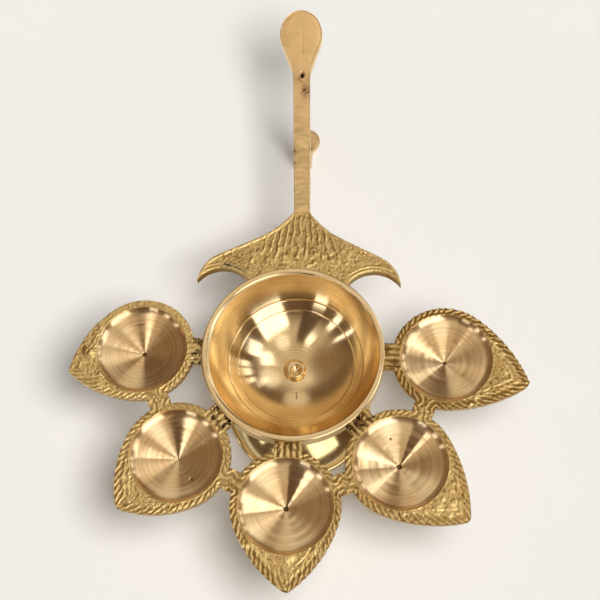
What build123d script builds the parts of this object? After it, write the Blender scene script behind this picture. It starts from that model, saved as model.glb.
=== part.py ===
from build123d import *
from math import asin, atan2, cos, degrees, hypot, radians, sin, sqrt, tan
import os

os.makedirs("parts", exist_ok=True)

# Aarti lamp in cast and turned brass, in millimetres, +Z up.
# The origin is on the bowl's axis at table height. The handle runs along +Y and the front leaf along -Y.

# Bowl
rim_height = 72.0        # table to the top of the rim
rim_radius = 33.5
lip_width = 2.2
lip_fall = 0.5           # the lip slopes down to the inside by this
lip_round = 0.4
bowl_depth = 21.0
bowl_wall = 1.8
band_height = 6.5        # plain band round the rim that the leaves are brazed to
band_slope = 40.0        # underside of the band, degrees from level
seat_radius = 9.0        # turned pad under the bowl
seat_rise = 1.0

# Leaf cups
leaf_names = ("far_left", "near_left", "front", "near_right", "far_right")
leaf_turns = (20.0, 0.0, 3.0, 6.0, -17.0)     # tip direction against the radius, degrees
leaf_reaches = (28.0, 27.5, 29.5, 31.0, 31.5)  # well centre to tip
leaf_step = 45.0
leaf_drop = 1.5          # leaf tops lie this far below the rim
leaf_thickness = 3.2
leaf_border = 2.9        # well edge to leaf edge
shoulder_angle = 70.0    # where the round back of a leaf runs into its flanks
leaf_tip_round = 2.0
neck_length = 5.5        # rim to the nearest point of the well
neck_width = 10.0
bridge_length = 8.0      # joint between neighbouring leaves
well_radius = 16.6
well_depth = 6.5
well_shoulder = 3.0      # steeper band round the well
well_slope = 17.0        # cone of the well, degrees from level
cup_floor = 1.8
cup_tip_radius = 3.0

# Wing plate
wing_drop = 2.0
wing_thickness = 3.5
wing_span = 38.4         # axis to wing tip
wing_tip_back = 5.1      # wing tip to the rim's rear edge, towards the leaves
wing_reach = 24.7        # rim's rear edge to the handle's root
wing_root_angle = 33.5   # where the lower edge meets the rim, degrees from the handle's line
wing_shift = 0.8         # the plate is set this far to the right of the bowl's axis
wing_arch = (28.5, 0.1)  # top of the lower edge: across, and behind the rim's rear edge
wing_cheek = (36.4, 0.9)
wing_shoulder = (29.5, 6.7)
wing_waist = (14.5, 14.3)
wing_throat = (8.3, 18.9)

# Handle bar and thumb rest
bar_root_width = 6.2
bar_neck_width = 6.8
bar_thickness = 5.5      # at the root
head_thickness = 3.2     # at the tip
bar_start_slope = 4.0
bar_climb = 15.4         # line from root to tip, degrees from level
bar_skew = 2.2           # the bar runs this far to the left of square, degrees
neck_run = 54.8          # root to the leg's tenon
throat_run = 58.5        # root to where the thumb rest begins
throat_round = 9.0
head_run = 71.3          # root to the middle of the thumb rest
head_radius = 8.4
tang_length = 13.0
tang_width = 9.0

# Leg under the handle
leg_width = 4.6
leg_depth = 4.2
leg_lean = 14.0
leg_knee_height = 15.0
leg_round = 1.2
pad_radius = 5.9
pad_reach = 3.2
pad_thickness = 3.0
tenon_radius = 1.6
tenon_stand = 0.3        # peened end above the bar

# Pedestal
foot_radius = 30.0
foot_height = 20.0
foot_bead_height = 3.0
foot_bead_width = 2.2
foot_bead_round = 1.0
foot_ring_width = 4.2    # what stands on the table
foot_crown_radius = 10.0
foot_crown_rise = 1.5
foot_crown_thickness = 3.0
foot_bell_slope = 52.0   # flank just above the bead, degrees from level
stem_flange_radius = 9.0
stem_flange_height = 2.0
stem_waist_radius = 4.6
knop_radius = 8.0
knop_height = 7.0

# Centre bolt
bolt_radius = 2.0
bolt_head_radius = 4.0
bolt_head_height = 2.3
bolt_head_edge = 0.6
dimple_radius = 2.2
dimple_depth = 1.3
spot_depth = 0.1
washer_radius = 5.5
washer_thickness = 1.2
nut_width = 7.0
nut_height = 3.2
bolt_end = 1.5           # thread showing below the nut

# Fits
fit_gap = 0.1
braze_leg = 1.3          # width and height of a braze fillet
braze_inset = 3.0        # degrees that a fillet stops short of its piece's width

# Levels and radii worked out from the sizes above
floor_level = rim_height - bowl_depth
lip_edge = Vector(rim_radius - lip_width, rim_height - lip_fall)
cup_rise = lip_edge.Y - floor_level
cup_radius = (lip_edge.X ** 2 + cup_rise ** 2) / (2 * cup_rise)
cup_centre = floor_level + cup_radius
shell_radius = cup_radius + bowl_wall
seat_level = floor_level - bowl_wall - seat_rise
spot_level = floor_level - spot_depth
leaf_top = rim_height - leaf_drop
leaf_radius = well_radius + leaf_border
ring_radius = rim_radius + neck_length + well_radius
half_step = leaf_step / 2
wing_top = rim_height - wing_drop
root_run = rim_radius + wing_reach
handle_length = head_run + head_radius
crown_underside = foot_height - foot_crown_thickness
nut_top = crown_underside - washer_thickness
bore_radius = bolt_radius + fit_gap


def shell_point(level):
    return (sqrt(shell_radius ** 2 - (cup_centre - level) ** 2), level)


def on_rim(angle):
    return (rim_radius * sin(radians(angle)), rim_radius * cos(radians(angle)))


def behind_rim(across, back):
    return (across, rim_radius + back)


# Bowl: spherical inside, plain band round the rim, turned seat below
band_foot = rim_height - band_height
band_inset = rim_radius - shell_point(band_foot)[0]
shell_top = shell_point(band_foot - band_inset * tan(radians(band_slope)))
seat_top = cup_centre - sqrt(shell_radius ** 2 - seat_radius ** 2)
with BuildPart() as bowl:
    with BuildSketch(Plane.XZ):
        with BuildLine():
            RadiusArc((0, floor_level), lip_edge, -cup_radius)
            Polyline(lip_edge, (rim_radius, rim_height), (rim_radius, band_foot), shell_top)
            RadiusArc(shell_top, (seat_radius, seat_top), shell_radius)
            Polyline((seat_radius, seat_top), (seat_radius, seat_level), (0, seat_level), (0, floor_level))
        make_face()
    revolve(axis=Axis.Z)
    with Locations((0, 0, spot_level)):
        Cylinder(bolt_head_radius + fit_gap, bowl_depth, align=(Align.CENTER, Align.CENTER, Align.MIN),
                 mode=Mode.SUBTRACT)
    with Locations((0, 0, seat_level)):
        Cylinder(bore_radius, bowl_depth, align=(Align.CENTER, Align.CENTER, Align.MIN), mode=Mode.SUBTRACT)
    fillet(bowl.edges().filter_by(GeomType.CIRCLE).sort_by(Axis.Z)[-1], lip_round)
bowl.part.label = "bowl"
export_step(bowl.part, "parts/bowl.step")


# Leaf cups: pointed plate, conical well, cup below it, neck to the bowl and bridges to the next leaves
def leaf_outline(reach):
    along = leaf_radius * cos(radians(shoulder_angle))
    across = leaf_radius * sin(radians(shoulder_angle))
    with BuildSketch() as outline:
        with BuildLine():
            TangentArc((along, across), (reach, 0), tangent=(across, -along))
            mirror(about=Plane.XZ)
            ThreePointArc((along, across), (-leaf_radius, 0), (along, -across))
        make_face()
        fillet(outline.vertices().sort_by(Axis.X)[-1], leaf_tip_round)
    return outline.sketch


def on_bisector(radius, side):
    return (radius * cos(radians(half_step)) - ring_radius, side * radius * sin(radians(half_step)))


bridge_middle = ring_radius * cos(radians(half_step))
bridge_near = bridge_middle - bridge_length / 2
bridge_far = bridge_middle + bridge_length / 2
sector_radius = 2 * ring_radius + max(leaf_reaches)
well_cone_radius = well_radius - well_shoulder
well_cone_rise = well_cone_radius * tan(radians(well_slope))
cup_drop = well_depth + cup_floor - leaf_thickness
leaf_count = len(leaf_names)

for index, (name, turn, reach) in enumerate(zip(leaf_names, leaf_turns, leaf_reaches)):
    angle = radians(180 + index * leaf_step)
    outward = Vector(cos(angle), sin(angle), 0)
    well_plane = Plane(origin=outward * ring_radius + Vector(0, 0, leaf_top), x_dir=outward, z_dir=(0, 0, 1))
    section = Plane(origin=well_plane.origin, x_dir=outward, z_dir=-well_plane.y_dir)
    bridge_sides = [side for side, next_leaf in ((-1, index - 1), (1, index + 1)) if 0 <= next_leaf < leaf_count]
    with BuildPart() as leaf:
        with BuildSketch(well_plane.offset(-leaf_thickness)):
            add(leaf_outline(reach), rotation=turn)
            Rectangle(ring_radius - rim_radius / 2, neck_width, align=(Align.MAX, Align.CENTER))
            for side in bridge_sides:
                with BuildLine():
                    Polyline((0, 0), on_bisector(bridge_near, side), on_bisector(bridge_far, side), close=True)
                make_face()
            with BuildLine():
                Polyline((-ring_radius, 0), on_bisector(sector_radius, 1), on_bisector(sector_radius, -1),
                         close=True)
            make_face(mode=Mode.INTERSECT)
            with Locations((-ring_radius, 0)):
                Circle(rim_radius, mode=Mode.SUBTRACT)
        extrude(amount=leaf_thickness)
        with Locations(well_plane.offset(-leaf_thickness)):
            Cone(cup_tip_radius, well_radius, cup_drop, align=(Align.CENTER, Align.CENTER, Align.MAX))
        with BuildSketch(section):
            with BuildLine():
                cone = Line((0, -well_depth), (well_cone_radius, well_cone_rise - well_depth))
                TangentArc(cone @ 1, (well_radius, 0), tangent=cone % 1)
                Polyline((well_radius, 0), (well_radius, leaf_drop), (0, leaf_drop), (0, -well_depth))
            make_face()
        revolve(axis=Axis(well_plane.origin, (0, 0, 1)), mode=Mode.SUBTRACT)
    leaf.part.label = f"leaf_{name}"
    export_step(leaf.part, f"parts/leaf_{name}.step")


# Wing plate: two down-swept wings, cut to the rim in front and square to the bar behind
wing_tip = behind_rim(wing_span, -wing_tip_back)
with BuildPart() as wing_plate:
    with BuildSketch(Plane((wing_shift, 0, wing_top - wing_thickness))):
        with BuildLine():
            Line((0, 0), on_rim(wing_root_angle))
            ThreePointArc(on_rim(wing_root_angle), behind_rim(*wing_arch), wing_tip)
            ThreePointArc(wing_tip, behind_rim(*wing_cheek), behind_rim(*wing_shoulder))
            Line(behind_rim(*wing_shoulder), behind_rim(*wing_waist))
            ThreePointArc(behind_rim(*wing_waist), behind_rim(*wing_throat), (bar_root_width / 2, root_run))
            Line((bar_root_width / 2, root_run), (0, root_run))
            mirror(about=Plane.YZ)
        make_face()
        with Locations((-wing_shift, 0)):
            Circle(rim_radius, mode=Mode.SUBTRACT)
    extrude(amount=wing_thickness)
wing_plate.part.label = "wing_plate"
export_step(wing_plate.part, "parts/wing_plate.step")


# Handle bar: curved flat bar with a thumb rest, and a tang that laps under the wing plate
bar_plan = Plane((wing_shift, root_run, 0)).rotated((0, 0, bar_skew))
bar_side = Plane(bar_plan.origin, x_dir=bar_plan.y_dir, z_dir=bar_plan.x_dir)
bend_run = handle_length + head_thickness
bend_rise = bend_run * tan(radians(bar_climb))
start_slope = (cos(radians(bar_start_slope)), sin(radians(bar_start_slope)))


def arc_rise(run, end_run, end_rise):
    half_turn = atan2(end_rise, end_run) - radians(bar_start_slope)
    radius = hypot(end_run, end_rise) / (2 * sin(half_turn))
    return radius * start_slope[0] - sqrt(radius ** 2 - (run + radius * start_slope[1]) ** 2)


neck_top = wing_top + arc_rise(neck_run, bend_run, bend_rise)
under_rise = bend_rise + bar_thickness - head_thickness
neck_under = wing_top - bar_thickness + arc_rise(neck_run, bend_run, under_rise)

with BuildSketch() as thumb_rest:
    with Locations((0, head_run)):
        Circle(head_radius)
    with Locations((0, throat_run)):
        Circle(bar_neck_width / 2)
    make_hull()

with BuildPart() as handle_bar:
    with BuildSketch(bar_side):
        with BuildLine():
            top = TangentArc((0, wing_top), (bend_run, wing_top + bend_rise), tangent=start_slope)
            under_start = (0, wing_top - bar_thickness)
            under = TangentArc(under_start, (bend_run, under_start[1] + under_rise), tangent=start_slope)
            Line(top @ 1, under @ 1)
            Line(top @ 0, under @ 0)
        make_face()
    extrude(amount=head_radius + head_thickness, both=True)
    with BuildSketch(bar_plan) as plan:
        with BuildLine():
            Polyline((0, 0), (bar_root_width / 2, 0), (bar_neck_width / 2, throat_run), (0, throat_run))
            mirror(about=Plane.YZ)
        make_face()
        add(thumb_rest.sketch)
        throat = plan.vertices().sort_by_distance((0, throat_run))
        fillet(throat[:2], throat_round)
    extrude(amount=rim_height + bend_rise + bar_thickness, mode=Mode.INTERSECT)
    add(wing_plate.part, mode=Mode.SUBTRACT)
    with Locations((wing_shift, root_run, wing_top - bar_thickness)):
        Box(tang_width, tang_length, bar_thickness - wing_thickness,
            align=(Align.CENTER, Align.MAX, Align.MIN))
    with Locations(bar_plan.from_local_coords((0, neck_run, neck_under))):
        Cylinder(tenon_radius + fit_gap, 4 * bar_thickness, mode=Mode.SUBTRACT)
handle_bar.part.label = "handle_bar"
export_step(handle_bar.part, "parts/handle_bar.step")


# Leg: bowed strut from the neck to the table, with a teardrop pad and a tenon peened over the bar
leg_top = (neck_top + neck_under) / 2
upper_radius = (leg_top - leg_knee_height) / (2 * sin(radians(leg_lean)))
lower_radius = (leg_knee_height - leg_depth / 2) / (1 - sin(radians(leg_lean)))
toe_run = neck_run + lower_radius * cos(radians(leg_lean))
with BuildPart() as handle_leg:
    with BuildLine(bar_side) as leg_path:
        upper = JernArc((neck_run, leg_top), (-sin(radians(leg_lean)), -cos(radians(leg_lean))),
                        upper_radius, 2 * leg_lean)
        JernArc(upper @ 1, upper % 1, lower_radius, 90 - leg_lean)
    with BuildSketch(Plane(leg_path.line @ 0, x_dir=bar_plan.x_dir, z_dir=leg_path.line % 0)):
        RectangleRounded(leg_width, leg_depth, leg_round)
    sweep()
    with BuildSketch(bar_plan):
        with Locations((0, toe_run + pad_reach)):
            Circle(pad_radius)
        with Locations((0, toe_run - pad_reach)):
            Circle(leg_width / 2)
        make_hull()
    extrude(amount=pad_thickness)
    add(handle_bar.part, mode=Mode.SUBTRACT)
    with Locations(bar_plan.from_local_coords((0, neck_run, neck_top + tenon_stand))):
        Cylinder(tenon_radius, 2 * bar_thickness, align=(Align.CENTER, Align.CENTER, Align.MAX))
handle_leg.part.label = "handle_leg"
export_step(handle_leg.part, "parts/handle_leg.step")


# Pedestal foot: hollow bell on a beaded ring
bead_top = Vector(foot_radius - foot_bead_width, foot_bead_height)
crown_edge = Vector(foot_crown_radius, foot_height - foot_crown_rise)
bell_middle = (bead_top + crown_edge) / 2
bell_start = (-cos(radians(foot_bell_slope)), sin(radians(foot_bell_slope)))
hollow_edge = foot_radius - foot_ring_width
with BuildPart() as pedestal_foot:
    with BuildSketch(Plane.XZ):
        with BuildLine():
            Polyline((hollow_edge, 0), (foot_radius, 0), (foot_radius, foot_bead_height), bead_top)
            flank = TangentArc(bead_top, bell_middle, tangent=bell_start)
            TangentArc(bell_middle, crown_edge, tangent=flank % 1)
            Polyline(crown_edge, (foot_crown_radius, foot_height), (bore_radius, foot_height),
                     (bore_radius, crown_underside), (foot_crown_radius, crown_underside),
                     (hollow_edge, foot_bead_height), (hollow_edge, 0))
        make_face()
    revolve(axis=Axis.Z)
    ring_edges = pedestal_foot.edges().filter_by(GeomType.CIRCLE).filter_by_position(
        Axis.Z, foot_bead_height, foot_bead_height)
    fillet(ring_edges.sort_by(SortBy.RADIUS)[-1], foot_bead_round)
pedestal_foot.part.label = "pedestal_foot"
export_step(pedestal_foot.part, "parts/pedestal_foot.step")


# Stem: turned spindle with a flange at each end and a knop in the middle
stem_cove = stem_flange_radius - stem_waist_radius
stem_middle = (foot_height + seat_level) / 2
flange_edge = foot_height + stem_flange_height
knop_foot = Vector(stem_waist_radius, stem_middle - knop_height / 2)
with BuildPart() as stem:
    with BuildSketch(Plane.XZ):
        with BuildLine():
            Polyline((bore_radius, stem_middle), (bore_radius, foot_height), (stem_flange_radius, foot_height),
                     (stem_flange_radius, flange_edge))
            RadiusArc((stem_flange_radius, flange_edge), (stem_waist_radius, flange_edge + stem_cove), stem_cove)
            Line((stem_waist_radius, flange_edge + stem_cove), knop_foot)
            ThreePointArc(knop_foot, (knop_radius, stem_middle), knop_foot + Vector(0, knop_height))
            Line(knop_foot + Vector(0, knop_height),
                 (stem_waist_radius, seat_level - stem_flange_height - stem_cove))
            RadiusArc((stem_waist_radius, seat_level - stem_flange_height - stem_cove),
                      (stem_flange_radius, seat_level - stem_flange_height), stem_cove)
            Polyline((stem_flange_radius, seat_level - stem_flange_height), (stem_flange_radius, seat_level),
                     (bore_radius, seat_level), (bore_radius, stem_middle))
        make_face()
    revolve(axis=Axis.Z)
stem.part.label = "stem"
export_step(stem.part, "parts/stem.step")


# Centre bolt: domed head with a punched dimple, in a spot face on the bowl's floor
bolt_tip = nut_top - nut_height - bolt_end
head_top = spot_level + bolt_head_height
with BuildPart() as centre_bolt:
    with BuildSketch(Plane.XZ):
        with BuildLine():
            Polyline((0, head_top - dimple_depth), (0, bolt_tip), (bolt_radius, bolt_tip),
                     (bolt_radius, spot_level), (bolt_head_radius, spot_level),
                     (bolt_head_radius, spot_level + bolt_head_edge))
            TangentArc((bolt_head_radius, spot_level + bolt_head_edge), (dimple_radius, head_top), tangent=(0, 1))
            Line((dimple_radius, head_top), (0, head_top - dimple_depth))
        make_face()
    revolve(axis=Axis.Z)
centre_bolt.part.label = "centre_bolt"
export_step(centre_bolt.part, "parts/centre_bolt.step")


# Washer and nut under the foot's crown
with BuildPart() as bolt_washer:
    with BuildSketch(Plane.XY.offset(nut_top)):
        Circle(washer_radius)
        Circle(bore_radius, mode=Mode.SUBTRACT)
    extrude(amount=washer_thickness)
bolt_washer.part.label = "bolt_washer"
export_step(bolt_washer.part, "parts/bolt_washer.step")

with BuildPart() as bolt_nut:
    with BuildSketch(Plane.XY.offset(nut_top - nut_height)):
        RegularPolygon(nut_width / 2, 6, major_radius=False)
        Circle(bore_radius, mode=Mode.SUBTRACT)
    extrude(amount=nut_height)
bolt_nut.part.label = "bolt_nut"
export_step(bolt_nut.part, "parts/bolt_nut.step")


# Braze fillets under the leaf necks and the wing plate, on the bowl's band
def braze_section(under, start_angle):
    outward = Vector(1, 0, 0).rotate(Axis.Z, start_angle)
    with BuildSketch(Plane(origin=(0, 0, under), x_dir=outward, z_dir=outward.cross(Vector(0, 0, 1)))) as bead:
        with BuildLine():
            Polyline((rim_radius, 0), (rim_radius + braze_leg, 0), (rim_radius, -braze_leg), close=True)
        make_face()
    return bead.sketch


neck_spread = 2 * degrees(asin(neck_width / 2 / rim_radius)) - braze_inset
with BuildPart() as leaf_braze:
    for index in range(leaf_count):
        start_angle = 180 + index * leaf_step - neck_spread / 2
        revolve(braze_section(leaf_top - leaf_thickness, start_angle), axis=Axis.Z, revolution_arc=neck_spread)
leaf_braze.part.label = "leaf_braze"
export_step(leaf_braze.part, "parts/leaf_braze.step")

wing_spread = 2 * wing_root_angle - braze_inset
with BuildPart() as wing_braze:
    revolve(braze_section(wing_top - wing_thickness, 90 - wing_spread / 2), axis=Axis.Z,
            revolution_arc=wing_spread)
wing_braze.part.label = "wing_braze"
export_step(wing_braze.part, "parts/wing_braze.step")
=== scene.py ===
from collections import defaultdict
from math import asin, atan2, cos, degrees, hypot, pi, radians, sin, sqrt, tan

import bpy
import numpy as np
from mathutils import Matrix, Vector


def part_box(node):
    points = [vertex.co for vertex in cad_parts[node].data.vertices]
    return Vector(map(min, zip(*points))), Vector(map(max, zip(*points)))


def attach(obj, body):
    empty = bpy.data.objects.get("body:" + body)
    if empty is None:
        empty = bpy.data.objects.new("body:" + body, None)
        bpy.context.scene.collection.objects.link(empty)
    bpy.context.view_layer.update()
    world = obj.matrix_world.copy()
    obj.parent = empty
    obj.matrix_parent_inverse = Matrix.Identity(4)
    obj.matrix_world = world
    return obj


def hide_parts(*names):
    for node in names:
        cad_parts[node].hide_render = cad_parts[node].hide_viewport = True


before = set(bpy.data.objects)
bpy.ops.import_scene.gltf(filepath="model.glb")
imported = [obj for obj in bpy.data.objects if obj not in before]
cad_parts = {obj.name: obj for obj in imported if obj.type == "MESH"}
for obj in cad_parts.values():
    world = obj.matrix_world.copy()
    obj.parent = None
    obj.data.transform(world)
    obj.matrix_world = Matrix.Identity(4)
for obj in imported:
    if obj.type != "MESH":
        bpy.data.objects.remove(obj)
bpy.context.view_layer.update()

mm = 0.001
rimRadius = 33.5
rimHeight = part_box("bowl")[1].z / mm
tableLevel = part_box("pedestal_foot")[0].z / mm
print("frame loaded, rim at", round(rimHeight, 2), "mm")


# Curves and relief, all in millimetres
def smooth(value, low, high):        # 0 below low, 1 above high, eased between
    share = np.clip((value - low) / (high - low), 0, 1)
    return share * share * (3 - 2 * share)


def bump(distance, width):
    return np.exp(-(distance / width) ** 2)


def tangentArc(start, tangent, end, count):        # arc from start to end that leaves along tangent
    start, end = np.array(start, float), np.array(end, float)
    along = np.array(tangent, float) / hypot(*tangent)
    across = np.array((-along[1], along[0]))
    chord = end - start
    radius = chord @ chord / (2 * across @ chord)
    turn = 2 * atan2(across @ chord, along @ chord)
    swept = np.linspace(0, turn, count)[:, None]
    return start + radius * (np.sin(swept) * along + (1 - np.cos(swept)) * across)


def circleThrough(a, b, c):        # centre and radius of the circle through three points
    a, b, c = (np.array(p, float) for p in (a, b, c))
    left = 2 * np.array((b - a, c - a))
    right = np.array((b @ b - a @ a, c @ c - a @ a))
    centre = np.linalg.solve(left, right)
    return centre, hypot(*(a - centre))


def softCorners(points, rounds, count=5):        # polyline with its inner corners rounded
    points = [np.array(p, float) for p in points]
    path = [points[0]]
    for before, corner, after, size in zip(points, points[1:], points[2:], rounds):
        if size == 0:
            path.append(corner)
            continue
        toBefore = (before - corner) / hypot(*(before - corner))
        toAfter = (after - corner) / hypot(*(after - corner))
        for share in np.linspace(0, 1, count):
            path.append(corner + size * ((1 - share) ** 2 * toBefore + share ** 2 * toAfter))
    path.append(points[-1])
    return np.array(path)


def grain(x, y, size, seed):        # even noise from 0 to 1, with spots of that size
    lattice = np.random.default_rng(seed).random((256, 256))
    total = 0
    for turn in (0.4, 1.3):
        u = (x * cos(turn) - y * sin(turn)) / size
        v = (x * sin(turn) + y * cos(turn)) / size
        i, j = np.floor(u).astype(int), np.floor(v).astype(int)
        a, b = smooth(u - i, 0, 1), smooth(v - j, 0, 1)
        low = lattice[i % 256, j % 256] * (1 - a) + lattice[(i + 1) % 256, j % 256] * a
        high = lattice[i % 256, (j + 1) % 256] * (1 - a) + lattice[(i + 1) % 256, (j + 1) % 256] * a
        total = total + low * (1 - b) + high * b
    return total / 2


def sandRelief(x, y, seed):        # skin of a sand casting, its grains coarser than real so that they show
    ridges = 1 - np.abs(2 * grain(x, y, 0.9, seed) - 1) * 2.2
    fine = grain(x, y, 0.42, seed + 1) - 0.5
    return 0.13 * np.clip(ridges, -0.6, 1) + 0.2 * fine


# Building pieces from rings of points
def shell(rings, wrap=False, finish=0, **marks):
    return {"rings": np.asarray(rings, float), "wrap": wrap, "finish": finish, "marks": marks}


def lathe(profile, columns=240):        # rings round the Z axis from radius and height pairs
    turn = np.linspace(0, 2 * pi, columns, endpoint=False)
    profile = np.asarray(profile, float)
    radius, height = profile[:, :1], profile[:, 1:]
    return np.stack([radius * np.cos(turn), radius * np.sin(turn), height + 0 * turn], -1)


def closeEnds(rings):        # a flat cap at each end of a bar
    first, last = (end.mean(axis=1, keepdims=True) + 0 * end for end in (rings[:1], rings[-1:]))
    return np.concatenate([first, rings, last])


def makePiece(name, shells, finishes, slot, *nodes):
    points, faces, corners, looks = [], [], [], []
    marks = defaultdict(list)
    markNames = {mark for part in shells for mark in part["marks"]}
    start = 0
    for part in shells:
        rings = part["rings"]
        rows, columns = rings.shape[:2]
        pole = np.ptp(rings, axis=1).max(axis=1) < 1e-6
        keep = np.ones((rows, columns), bool)
        keep[pole, 1:] = False
        number = np.cumsum(keep.ravel()).reshape(rows, columns) - 1 + start
        number[pole] = number[pole, :1]
        upper = np.arange(rows if part["wrap"] else rows - 1)
        lower = (upper + 1) % rows
        side = np.arange(columns)
        beside = (side + 1) % columns
        quads = np.stack([number[upper][:, side], number[lower][:, side],
                          number[lower][:, beside], number[upper][:, beside]], -1)
        step = np.linalg.norm(np.roll(rings, -1, axis=0) - rings, axis=-1).mean(axis=1)
        reach = np.concatenate([[0], np.cumsum(step)]) / step.sum()
        near, far = reach[upper][:, None] + 0 * side, reach[upper + 1][:, None] + 0 * side
        left, right = side / columns + 0 * near, (side + 1) / columns + 0 * near
        places = np.stack([near, left, far, left, far, right, near, right], -1)
        look = np.broadcast_to(part["finish"], (rows,))
        for row, (top, bottom) in enumerate(zip(upper, lower)):
            used = [0, 1, 2] if pole[top] else [0, 1, 3] if pole[bottom] else [0, 1, 2, 3]
            faces += quads[row][:, used].tolist()
            corners.append(places[row].reshape(columns, 4, 2)[:, used].reshape(-1, 2))
            looks += [int(look[top])] * columns
        points.append(rings[keep])
        for mark in markNames:
            marks[mark].append(np.broadcast_to(part["marks"].get(mark, 0.0), (rows, columns))[keep])
        start += int(keep.sum())
    mesh = bpy.data.meshes.new(name)
    mesh.from_pydata((np.concatenate(points) * mm).tolist(), [], faces)
    mesh.uv_layers.new(name="toolMap").uv.foreach_set("vector", np.concatenate(corners).ravel())
    for mark in sorted(marks):
        values = mesh.attributes.new(mark, "FLOAT", "POINT")
        values.data.foreach_set("value", np.concatenate(marks[mark]).astype(np.float32))
    for finish in finishes:
        mesh.materials.append(finish)
    mesh.polygons.foreach_set("material_index", looks)
    mesh.shade_smooth()
    mesh.set_sharp_from_angle(angle=radians(50))
    piece = bpy.data.objects.new(name, mesh)
    bpy.context.scene.collection.objects.link(piece)
    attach(piece, "root")
    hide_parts(*nodes)
    print("made", name, "with", len(mesh.polygons), "faces")
    return piece


# Finishes
def colour(code):        # sRGB hex to linear
    parts = [int(code[i:i + 2], 16) / 255 for i in (1, 3, 5)]
    return [p / 12.92 if p <= 0.04045 else ((p + 0.055) / 1.055) ** 2.4 for p in parts] + [1.0]


def addNode(tree, kind, inputs=None, **settings):
    made = tree.nodes.new("ShaderNode" + kind)
    for name, value in settings.items():
        setattr(made, name, value)
    for name, value in (inputs or {}).items():
        if isinstance(value, bpy.types.NodeSocket):
            tree.links.new(value, made.inputs[name])
        else:
            made.inputs[name].default_value = value
    return made


def newFinish(name):
    material = bpy.data.materials.new(name)
    material.use_nodes = True
    tree = material.node_tree
    tree.nodes.clear()
    surface = addNode(tree, "BsdfPrincipled", {"Metallic": 1.0})
    addNode(tree, "OutputMaterial", {"Surface": surface.outputs["BSDF"]})
    return material, tree, surface


sootColour = "#2B1D14"


def latheBrass(name, look):
    # brass cut on a lathe: rings round the axis, which spread each reflection into spokes;
    # the rings are coarser than a real tool leaves, so that they show
    material, tree, surface = newFinish(name)
    place = addNode(tree, "TexCoord").outputs["Object"]
    spin, soot, rubbed = (addNode(tree, "Attribute", attribute_name=mark).outputs["Fac"]
                          for mark in ("spin", "soot", "rubbed"))
    rings = addNode(tree, "TexNoise", {"W": spin, "Scale": 1 / look["ringPitch"], "Detail": 4.0,
                                       "Roughness": 0.7}, noise_dimensions="1D").outputs["Fac"]
    clouds = addNode(tree, "TexNoise", {"Vector": place, "Scale": 1 / (look["cloudSize"] * mm),
                                        "Detail": 5.0}).outputs["Fac"]
    dust = addNode(tree, "TexNoise", {"Vector": place, "Scale": 1 / (look["speckSize"] * mm),
                                      "Detail": 2.0}).outputs["Fac"]
    tarnish = addNode(tree, "MapRange", {"Value": clouds, "From Min": 0.35, "From Max": 0.7}).outputs[0]
    patchy = addNode(tree, "MapRange", {"Value": clouds, "From Min": 0.38, "From Max": 0.62,
                                        "To Min": 0.25}).outputs[0]
    lines = addNode(tree, "MapRange", {"Value": rings, "From Min": 0.42, "From Max": 0.62, "To Min": 0.0,
                                       "To Max": look["ringTint"]}).outputs[0]
    lines = addNode(tree, "Math", {0: lines, 1: patchy}, operation="MULTIPLY").outputs[0]
    tint = colour(look["bright"])
    for cover, shade in ((tarnish, look["deep"]), (lines, look["line"]), (soot, sootColour)):
        tint = addNode(tree, "Mix", {"Factor": cover, "A": tint, "B": colour(shade)},
                       data_type="RGBA").outputs["Result"]
    worn = addNode(tree, "MapRange", {"Value": dust, "From Min": 0.3, "From Max": 0.75,
                                      "To Min": look["polish"], "To Max": look["haze"]}).outputs[0]
    worn = addNode(tree, "Math", {0: worn, 1: rubbed}, operation="ADD").outputs[0]
    cut = addNode(tree, "Bump", {"Height": rings, "Strength": look["ringBump"], "Distance": 0.06 * mm})
    tree.links.new(tint, surface.inputs["Base Color"])
    tree.links.new(worn, surface.inputs["Roughness"])
    tree.links.new(cut.outputs["Normal"], surface.inputs["Normal"])
    surface.inputs["Anisotropic"].default_value = look["spokes"]
    across = addNode(tree, "Tangent", direction_type="UV_MAP", uv_map="toolMap")
    tree.links.new(across.outputs["Tangent"], surface.inputs["Tangent"])
    return material


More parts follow.
